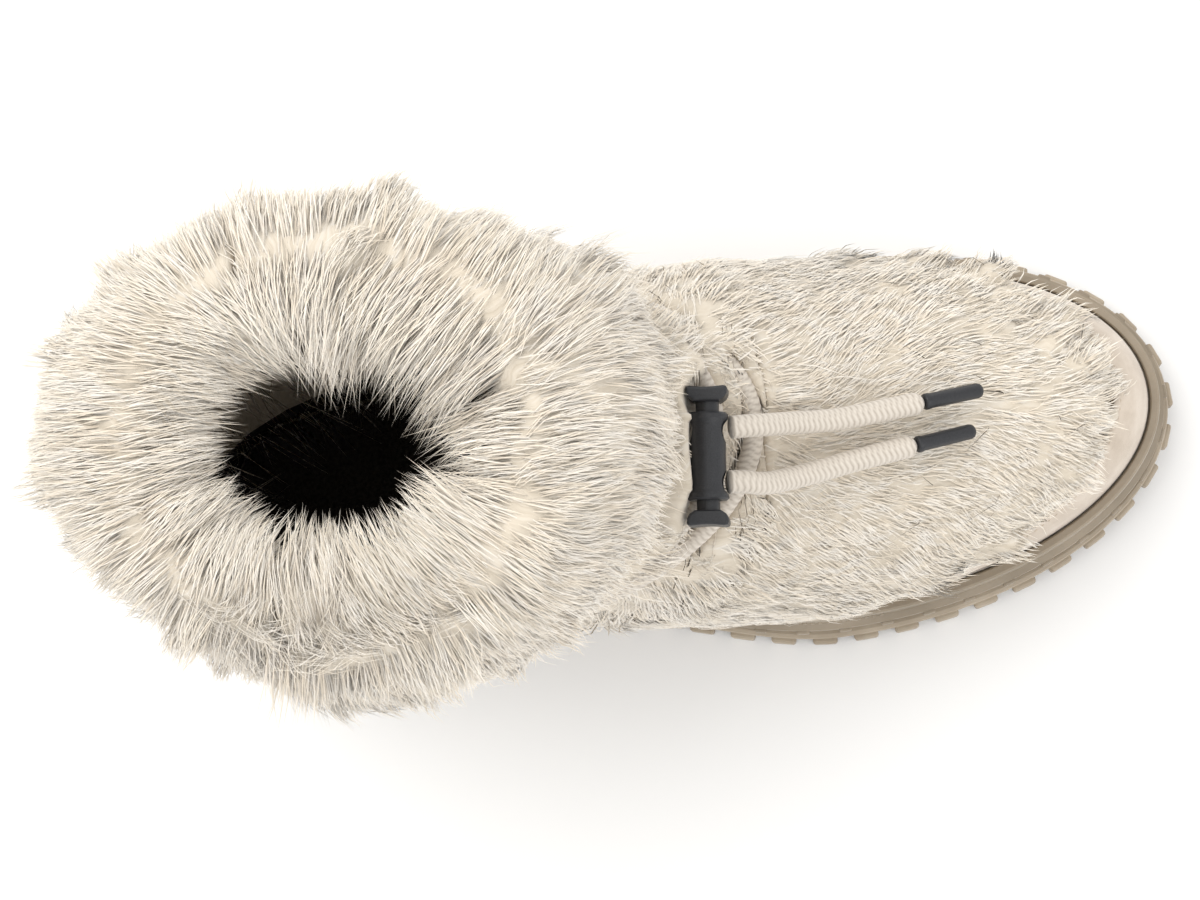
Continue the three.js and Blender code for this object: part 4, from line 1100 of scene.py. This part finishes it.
def make_stitch_mesh():
    """Two rows of short thread stitches under the guard's top edge, round the toe."""
    columns = guard_rows(GAP + SUEDE)
    bm = bmesh.new()
    for down in STITCH_ROWS:
        line = []
        for c in columns:
            top, below = c[-1], c[-4]
            line.append(top + (below - top).normalized() * down)
        lengths = [0.0]
        for a, b in zip(line, line[1:]):
            lengths.append(lengths[-1] + (b - a).length)
        at = STITCH_PITCH
        while at < lengths[-1] - STITCH_PITCH:
            k = next(i for i, d in enumerate(lengths) if d > at) - 1
            a, b = line[k], line[k + 1]
            t = (at - lengths[k]) / (lengths[k + 1] - lengths[k])
            way = (b - a).normalized()
            turn = way.to_track_quat("Y", "Z").to_matrix().to_4x4()
            place = Matrix.Translation(a.lerp(b, t)) @ turn @ Matrix.Diagonal((0.32, 0.75, 0.28, 1))
            bmesh.ops.create_icosphere(bm, subdivisions=1, radius=1, matrix=place)
            at += STITCH_PITCH
    return mesh_from(bm, "guard_stitches")


class BOOT_OT_guard(Operator):
    """Makes the suede guard round the toe and its two rows of stitches"""

    bl_idname = "boot.guard"
    bl_label = "Toe guard"

    def execute(self, context):
        add_piece("toe_guard", make_guard_mesh(), make_suede_material(), replaced=["toe_mudguard"])
        thread, nodes, shader = new_material("bonded_thread")
        shader.inputs["Base Color"].default_value = (*linear("B9A892"), 1)
        shader.inputs["Roughness"].default_value = 0.6
        add_piece("guard_stitches", make_stitch_mesh(), thread)
        return {"FINISHED"}


# Cord


def resampled(points, step):
    """Points at an even step on a smooth curve through a list."""
    curve = bpy.data.curves.new("work", "CURVE")
    curve.dimensions = "3D"
    spline = curve.splines.new("BEZIER")
    spline.bezier_points.add(len(points) - 1)
    for handle, p in zip(spline.bezier_points, points):
        handle.co = p
        handle.handle_left_type = handle.handle_right_type = "AUTO"
    spline.resolution_u = 12
    work = bpy.data.objects.new("work", curve)
    bpy.context.scene.collection.objects.link(work)
    bpy.context.view_layer.update()
    mesh = work.to_mesh()
    fine = np.array([v.co[:] for v in mesh.vertices])
    work.to_mesh_clear()
    bpy.data.objects.remove(work)
    bpy.data.curves.remove(curve)
    lengths = np.concatenate([[0], np.cumsum(np.linalg.norm(np.diff(fine, axis=0), axis=1))])
    at = np.linspace(0, lengths[-1], max(int(round(lengths[-1] / step)), 2) + 1)
    return np.stack([np.interp(at, lengths, fine[:, k]) for k in range(3)], axis=1), at


BRAID_SIDES = 20
BRAID_LENGTH = 3.4
BRAID_RELIEF = 0.15


def braided_tube(name, points, up_of, width, thick, round_ends):
    """An oval tube along a route, with the relief of a herringbone braid and its height kept for the braid's painted
    light and shade.
    """
    route, at = resampled(points, 0.55)
    ahead = unit(np.gradient(route, axis=0))
    up = unit(up_of(route, ahead))
    across = np.cross(ahead, up)
    theta = np.arange(BRAID_SIDES) / BRAID_SIDES * 2 * np.pi
    turn = theta[None] / (2 * np.pi) * 8
    run = at[:, None] / BRAID_LENGTH * 2
    left = np.abs(((run + turn / 2) % 1) - 0.5) * 2
    right = np.abs(((run - turn / 2) % 1) - 0.5) * 2
    over = (np.floor(turn) % 2).astype(bool)
    height = np.where(over, left, right)
    relief = (height - 0.6) * BRAID_RELIEF
    ends = np.ones(len(route))
    if round_ends:
        ends = np.minimum(1, np.sqrt(np.clip((at[-1] - at) / 2.2 + 0.15, 0, 1)))
    radius_up = (thick / 2 + relief) * ends[:, None]
    radius_across = (width / 2 + relief) * ends[:, None]
    rings = (
        route[:, None]
        + up[:, None] * (np.cos(theta) * radius_up)[..., None]
        + across[:, None] * (np.sin(theta) * radius_across)[..., None]
    )
    n, m = len(route), BRAID_SIDES
    k = np.arange(n * m).reshape(n, m)
    a, b = k[:-1], k[1:]
    faces = np.stack([a, np.roll(a, -1, axis=1), np.roll(b, -1, axis=1), b], axis=-1).reshape(-1, 4)
    mesh = mesh_of_arrays(name, rings.reshape(-1, 3) * MM, faces)
    # The braid's height colours the cord: painted shade in its grooves, painted light on its raised yarns
    set_attribute(mesh, "braid", height.reshape(-1))
    bm = bmesh.new()
    bm.from_mesh(mesh)
    bmesh.ops.holes_fill(bm, edges=[e for e in bm.edges if e.is_boundary], sides=0)
    bmesh.ops.recalc_face_normals(bm, faces=bm.faces)
    bm.to_mesh(mesh)
    bm.free()
    return mesh, route, at[-1]


def away_from_ankle(route, ahead):
    away = route - np.array([SHAFT_CENTRE, 0, 0])
    away[:, 2] = 0
    return along_surface(away, ahead)


def upwards(route, ahead):
    return along_surface(np.tile([0.0, 0.0, 1.0], (len(route), 1)), ahead)


def make_tip_mesh(points, name):
    """A moulded end on the cord: straight, with a rounded nose and a small collar."""
    end, before = Vector(points[-1]), Vector(points[-2])
    way = (end - before).normalized()
    start = end + way * GAP
    r = TIP_RADIUS
    profile = [
        (0, 0),
        (r * 0.9, 0),
        (r, 0.4),
        (r, 1.4),
        (r * 0.93, 1.9),
        (r * 0.93, TIP_LENGTH - 1.6),
        (r * 0.8, TIP_LENGTH - 0.7),
        (r * 0.5, TIP_LENGTH - 0.15),
        (0, TIP_LENGTH),
    ]
    bm = bmesh.new()
    verts = [bm.verts.new((x, 0, z)) for x, z in profile]
    edges = [bm.edges.new(pair) for pair in zip(verts, verts[1:])]
    bmesh.ops.spin(
        bm, geom=verts + edges, cent=(0, 0, 0), axis=(0, 0, 1), angle=2 * math.pi, steps=28, use_merge=True
    )
    bmesh.ops.remove_doubles(bm, verts=bm.verts, dist=0.001)
    bmesh.ops.recalc_face_normals(bm, faces=bm.faces)
    turn = Vector((0, 0, 1)).rotation_difference(way).to_matrix().to_4x4()
    bmesh.ops.transform(bm, matrix=Matrix.Translation(start) @ turn, verts=bm.verts)
    return mesh_from(bm, name)


class BOOT_OT_cord(Operator):
    """Braids the drawcord and its free ends, and puts a tip on each"""

    bl_idname = "boot.cord"
    bl_label = "Drawcord"

    def execute(self, context):
        braid = make_cord_material()
        plastic = make_plastic_material()
        course = [cord_point(2 * i / 100) for i in range(101)]
        mesh, _, _ = braided_tube("drawcord_braid", course, away_from_ankle, CORD_WIDTH, CORD_THICK, False)
        add_piece("drawcord_braid", mesh, braid, replaced=["drawcord"])
        for name, points in CORD_ENDS.items():
            tip = make_tip_mesh(points, "cord_tip_" + name + "_moulding")
            tip = add_piece(tip.name, tip, plastic, replaced=["cord_tip_" + name])
            mesh, route, length = braided_tube(
                "cord_end_" + name + "_braid", points, upwards, CORD_WIDTH - 1, CORD_THICK, True
            )
            cord = add_piece(mesh.name, mesh, braid, replaced=["cord_end_" + name])
        return {"FINISHED"}


# Cord lock


def lock_matrix():
    """From the lock's own frame, whose Y runs along the barrel, to the boot's."""
    return Matrix.Translation((LOCK_FORWARD, LOCK_ASIDE, LOCK_HEIGHT)) @ Matrix.Rotation(LOCK_TURN, 4, "Z")


def spun(bm, profile, steps):
    """A profile of radius and place, turned once about the Y axis."""
    verts = [bm.verts.new((r, y, 0)) for r, y in profile]
    edges = [bm.edges.new(pair) for pair in zip(verts, verts[1:])]
    bmesh.ops.spin(
        bm, geom=verts + edges, cent=(0, 0, 0), axis=(0, 1, 0), angle=2 * math.pi, steps=steps, use_merge=True
    )
    bmesh.ops.remove_doubles(bm, verts=bm.verts, dist=0.001)
    bmesh.ops.recalc_face_normals(bm, faces=bm.faces)


def make_barrel_mesh():
    """A waisted barrel with a rim at each end, a bore for each button and a hole for each cord."""
    half = LOCK_BODY / 2
    flare = LOCK_RADIUS * FLARE
    outside = [(flare - 0.5, half), (flare, half - 0.5), (flare, half - 1.6), (LOCK_RADIUS + 0.1, half - 2.6)]
    outside += [(LOCK_RADIUS, half - 3.4), (LOCK_RADIUS * 0.96, 0)]
    bore = [(0, half - 6.5), (BORE_RADIUS, half - 6.5), (BORE_RADIUS, half - 0.4), (BORE_RADIUS + 0.4, half)]
    upper = bore + outside
    profile = upper + [(r, -y) for r, y in upper[-2::-1]]
    bm = bmesh.new()
    spun(bm, profile, 48)
    barrel = bpy.data.objects.new("work_barrel", mesh_from(bm, "work_barrel"))
    cutters = []
    for side in (-1, 1):
        bm = bmesh.new()
        place = Matrix.Translation((0, side * (half - CORD_WIDTH / 2 - 0.8), 0))
        place = place @ Matrix.Rotation(math.pi / 2, 4, "Y") @ Matrix.Diagonal((1, (CORD_WIDTH - 1) / CORD_THICK, 1, 1))
        radius = CORD_THICK / 2 + GAP
        bmesh.ops.create_cone(
            bm, cap_ends=True, segments=32, radius1=radius, radius2=radius, depth=4 * LOCK_RADIUS, matrix=place
        )
        cutters.append(bpy.data.objects.new("work_hole", mesh_from(bm, "work_hole")))
    for thing in [barrel, *cutters]:
        bpy.context.scene.collection.objects.link(thing)
    for cutter in cutters:
        cut = barrel.modifiers.new("hole", "BOOLEAN")
        cut.object = cutter
        cut.solver = "EXACT"
    mesh = bpy.data.meshes.new_from_object(barrel.evaluated_get(bpy.context.evaluated_depsgraph_get()))
    for thing in [barrel, *cutters]:
        bpy.data.objects.remove(thing)
    mesh.transform(Matrix.Scale(MM, 4) @ lock_matrix() @ Matrix.Scale(1 / MM, 4))
    return mesh


def make_button_mesh(side):
    """A push button: a stem and a wide head with a dished face."""
    half = LOCK_BODY / 2
    neck = half + BUTTON_TRAVEL + 0.5
    bm = bmesh.new()
    spun(bm, [(0, half - 3.5), (STEM_RADIUS - 0.3, half - 3.5), (STEM_RADIUS, half - 3.2), (STEM_RADIUS, neck + 0.5), (0, neck + 0.5)], 36)
    wide, deep = BUTTON_WIDTH / 2, LOCK_RADIUS * 0.95
    profile = [(-wide * 0.62, 0), (-wide * 0.86, 0.9), (-wide * 0.98, 2), (-wide, 3.2), (-wide * 0.94, 3.8), (-wide * 0.8, 4)]
    profile += [(-wide * 0.3, 3.75), (0, 3.7)]
    outline_points = profile + [(-x, y) for x, y in profile[-2::-1]]
    face_bm = bmesh.new()
    face = face_bm.faces.new([face_bm.verts.new((x, neck + y, -deep)) for x, y in outline_points])
    grown = bmesh.ops.extrude_face_region(face_bm, geom=[face])
    moved = [v for v in grown["geom"] if isinstance(v, bmesh.types.BMVert)]
    bmesh.ops.translate(face_bm, verts=moved, vec=(0, 0, 2 * deep))
    bmesh.ops.recalc_face_normals(face_bm, faces=face_bm.faces)
    rims = [e for e in face_bm.edges if abs(e.verts[0].co.z - e.verts[1].co.z) < 1e-6]
    bmesh.ops.bevel(face_bm, geom=rims, offset=0.7, affect="EDGES", segments=3, profile=0.5, material=-1)
    head = bpy.data.meshes.new("work_head")
    face_bm.to_mesh(head)
    face_bm.free()
    bm.from_mesh(head)
    if side < 0:
        bmesh.ops.rotate(bm, cent=(0, 0, 0), matrix=Matrix.Rotation(math.pi, 3, "Z"), verts=bm.verts)
    bmesh.ops.transform(bm, matrix=lock_matrix(), verts=bm.verts)
    return mesh_from(bm, "lock_button")


class BOOT_OT_lock(Operator):
    """Makes the cord lock's barrel and its two buttons"""

    bl_idname = "boot.lock"
    bl_label = "Cord lock"

    def execute(self, context):
        plastic = bpy.data.materials["matt_acetal"]
        add_piece("lock_barrel_moulding", make_barrel_mesh(), plastic, replaced=["lock_barrel"], shade_smooth=False)
        for name, side in (("inner", 1), ("outer", -1)):
            mesh = make_button_mesh(side)
            piece = add_piece(
                "lock_button_" + name + "_moulding",
                mesh,
                plastic,
                body="button_" + name,
                replaced=["lock_button_" + name],
                shade_smooth=False,
            )
            piece.data.name = piece.name
        return {"FINISHED"}


# Lining


def make_shell_mesh():
    """The shell as its solid has it, with its outer and inner faces told apart by material index."""
    bm = bmesh.new()
    bm.from_mesh(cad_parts["upper"].data)
    bmesh.ops.remove_doubles(bm, verts=bm.verts, dist=0.01 * MM)
    for face in bm.faces:
        centre = face.calc_center_median() / MM
        if centre.z > SHELL_TURN:
            away = Vector((centre.x - SHAFT_CENTRE, centre.y, 0))
        else:
            middle = min(max(centre.x, 0), TOE_X * 0.7)
            away = Vector((centre.x - middle, centre.y, centre.z - HEEL_SEAT))
        inside = 2 if centre.z > LINING_TOP else 1
        face.material_index = 0 if face.normal.dot(away) > 0 else inside
        face.smooth = True
    mesh = bpy.data.meshes.new("shell")
    bm.to_mesh(mesh)
    bm.free()
    return mesh


SHELL_TURN = 80
LINING_TOP = 78


class BOOT_OT_lining(Operator):
    """Gives the shell its knitted outside, and the shell and the insole their black plush"""

    bl_idname = "boot.lining"
    bl_label = "Lining"

    def execute(self, context):
        plush = make_lining_material()
        backing = make_backing_material()
        mesh = make_shell_mesh()
        sides = [face.material_index for face in mesh.polygons]
        shell = add_piece("shell", mesh, backing, replaced=["upper"])
        shell.data.materials.append(plush)
        shell.data.materials.append(make_fur_material("brushed_pile_inner", "Z", SHAFT_CENTRE, 40))
        shell.data.polygons.foreach_set("material_index", sides)
        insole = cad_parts["insole"]
        insole.data.materials.clear()
        insole.data.materials.append(plush)
        return {"FINISHED"}


# Stage


EYE = (0.157997, -0.094027, 0.941071)
RIGHT = (0.98667, -0.12990, -0.09803)
UP = (0.13924, 0.98565, 0.09538)
AHEAD = (-0.08424, 0.10776, -0.99060)
LENS = 96.9


def add_light(name, place, target, size, power, colour):
    data = bpy.data.lights.new(name, "AREA")
    data.shape = "DISK"
    data.size = size
    data.energy = power
    data.color = colour
    light = bpy.data.objects.new(name, data)
    bpy.context.scene.collection.objects.link(light)
    light.location = place
    light.rotation_euler = (Vector(target) - Vector(place)).to_track_quat("-Z", "Y").to_euler()


class BOOT_OT_stage(Operator):
    """Sets the pale floor, the soft studio lights and the camera"""

    bl_idname = "boot.stage"
    bl_label = "Stage"

    def execute(self, context):
        looks = context.scene.boot_sizes
        bm = bmesh.new()
        bmesh.ops.create_grid(bm, x_segments=1, y_segments=1, size=6)
        mesh = bpy.data.meshes.new("floor")
        bm.to_mesh(mesh)
        bm.free()
        floor = bpy.data.objects.new("floor", mesh)
        floor.location = (0.1, 0, -0.0005)
        context.scene.collection.objects.link(floor)
        material, nodes, shader = new_material("pale_floor")
        shader.inputs["Base Color"].default_value = (*looks.floor_colour, 1)
        shader.inputs["Roughness"].default_value = 0.9
        mesh.materials.append(material)

        world = bpy.data.worlds.new("studio")
        world.use_nodes = True
        background = world.node_tree.nodes["Background"]
        background.inputs["Color"].default_value = (1.0, 0.995, 0.985, 1)
        background.inputs["Strength"].default_value = 1.02
        context.scene.world = world
        add_light("key", (-0.35, 0.55, 1.25), (0.1, 0, 0.08), 1.3, 10, (1.0, 0.985, 0.96))
        add_light("fill", (0.9, -0.7, 1.0), (0.1, 0, 0.08), 1.1, 4, (1.0, 0.995, 0.99))

        camera = bpy.data.objects.new("camera", bpy.data.cameras.new("camera"))
        context.scene.collection.objects.link(camera)
        camera.data.sensor_width = 36
        camera.data.lens = LENS
        camera.data.clip_start = 0.01
        turn = Matrix((RIGHT, UP, tuple(-c for c in AHEAD))).transposed()
        camera.matrix_world = Matrix.Translation(EYE) @ turn.to_4x4()
        context.scene.camera = camera
        context.scene.view_settings.view_transform = "Standard"
        return {"FINISHED"}


# Panel and properties


class BootSizes(PropertyGroup):
    pile_scale: FloatProperty(
        name="Pile length", description="Length of all hairs, as a share of the boot's own", default=1.0, min=0.4, max=1.6
    )
    floor_colour: FloatVectorProperty(
        name="Floor", description="Colour of the floor", subtype="COLOR", default=(0.9, 0.9, 0.9), min=0, max=1
    )


OPERATORS = (
    BOOT_OT_stage,
    BOOT_OT_lining,
    BOOT_OT_sole,
    BOOT_OT_guard,
    BOOT_OT_cord,
    BOOT_OT_lock,
    BOOT_OT_fur,
)


class BOOT_PT_panel(Panel):
    """Lists the boot's sizes and the steps that build it"""

    bl_idname = "BOOT_PT_panel"
    bl_label = "Winter boot"
    bl_space_type = "VIEW_3D"
    bl_region_type = "UI"
    bl_category = "Boot"

    def draw(self, context):
        sizes = context.scene.boot_sizes
        for name in ("pile_scale", "floor_colour"):
            self.layout.prop(sizes, name)
        for operator in OPERATORS:
            self.layout.operator(operator.bl_idname)


def register():
    bpy.utils.register_class(BootSizes)
    for cls in (*OPERATORS, BOOT_PT_panel):
        bpy.utils.register_class(cls)
    bpy.types.Scene.boot_sizes = PointerProperty(type=BootSizes)


def unregister():
    del bpy.types.Scene.boot_sizes
    for cls in (BOOT_PT_panel, *reversed(OPERATORS)):
        bpy.utils.unregister_class(cls)
    bpy.utils.unregister_class(BootSizes)


def main():
    register()
    bpy.ops.boot.stage()
    bpy.ops.boot.lining()
    bpy.ops.boot.sole()
    bpy.ops.boot.guard()
    bpy.ops.boot.cord()
    bpy.ops.boot.lock()
    bpy.ops.boot.fur()


if __name__ == "__main__":
    main()
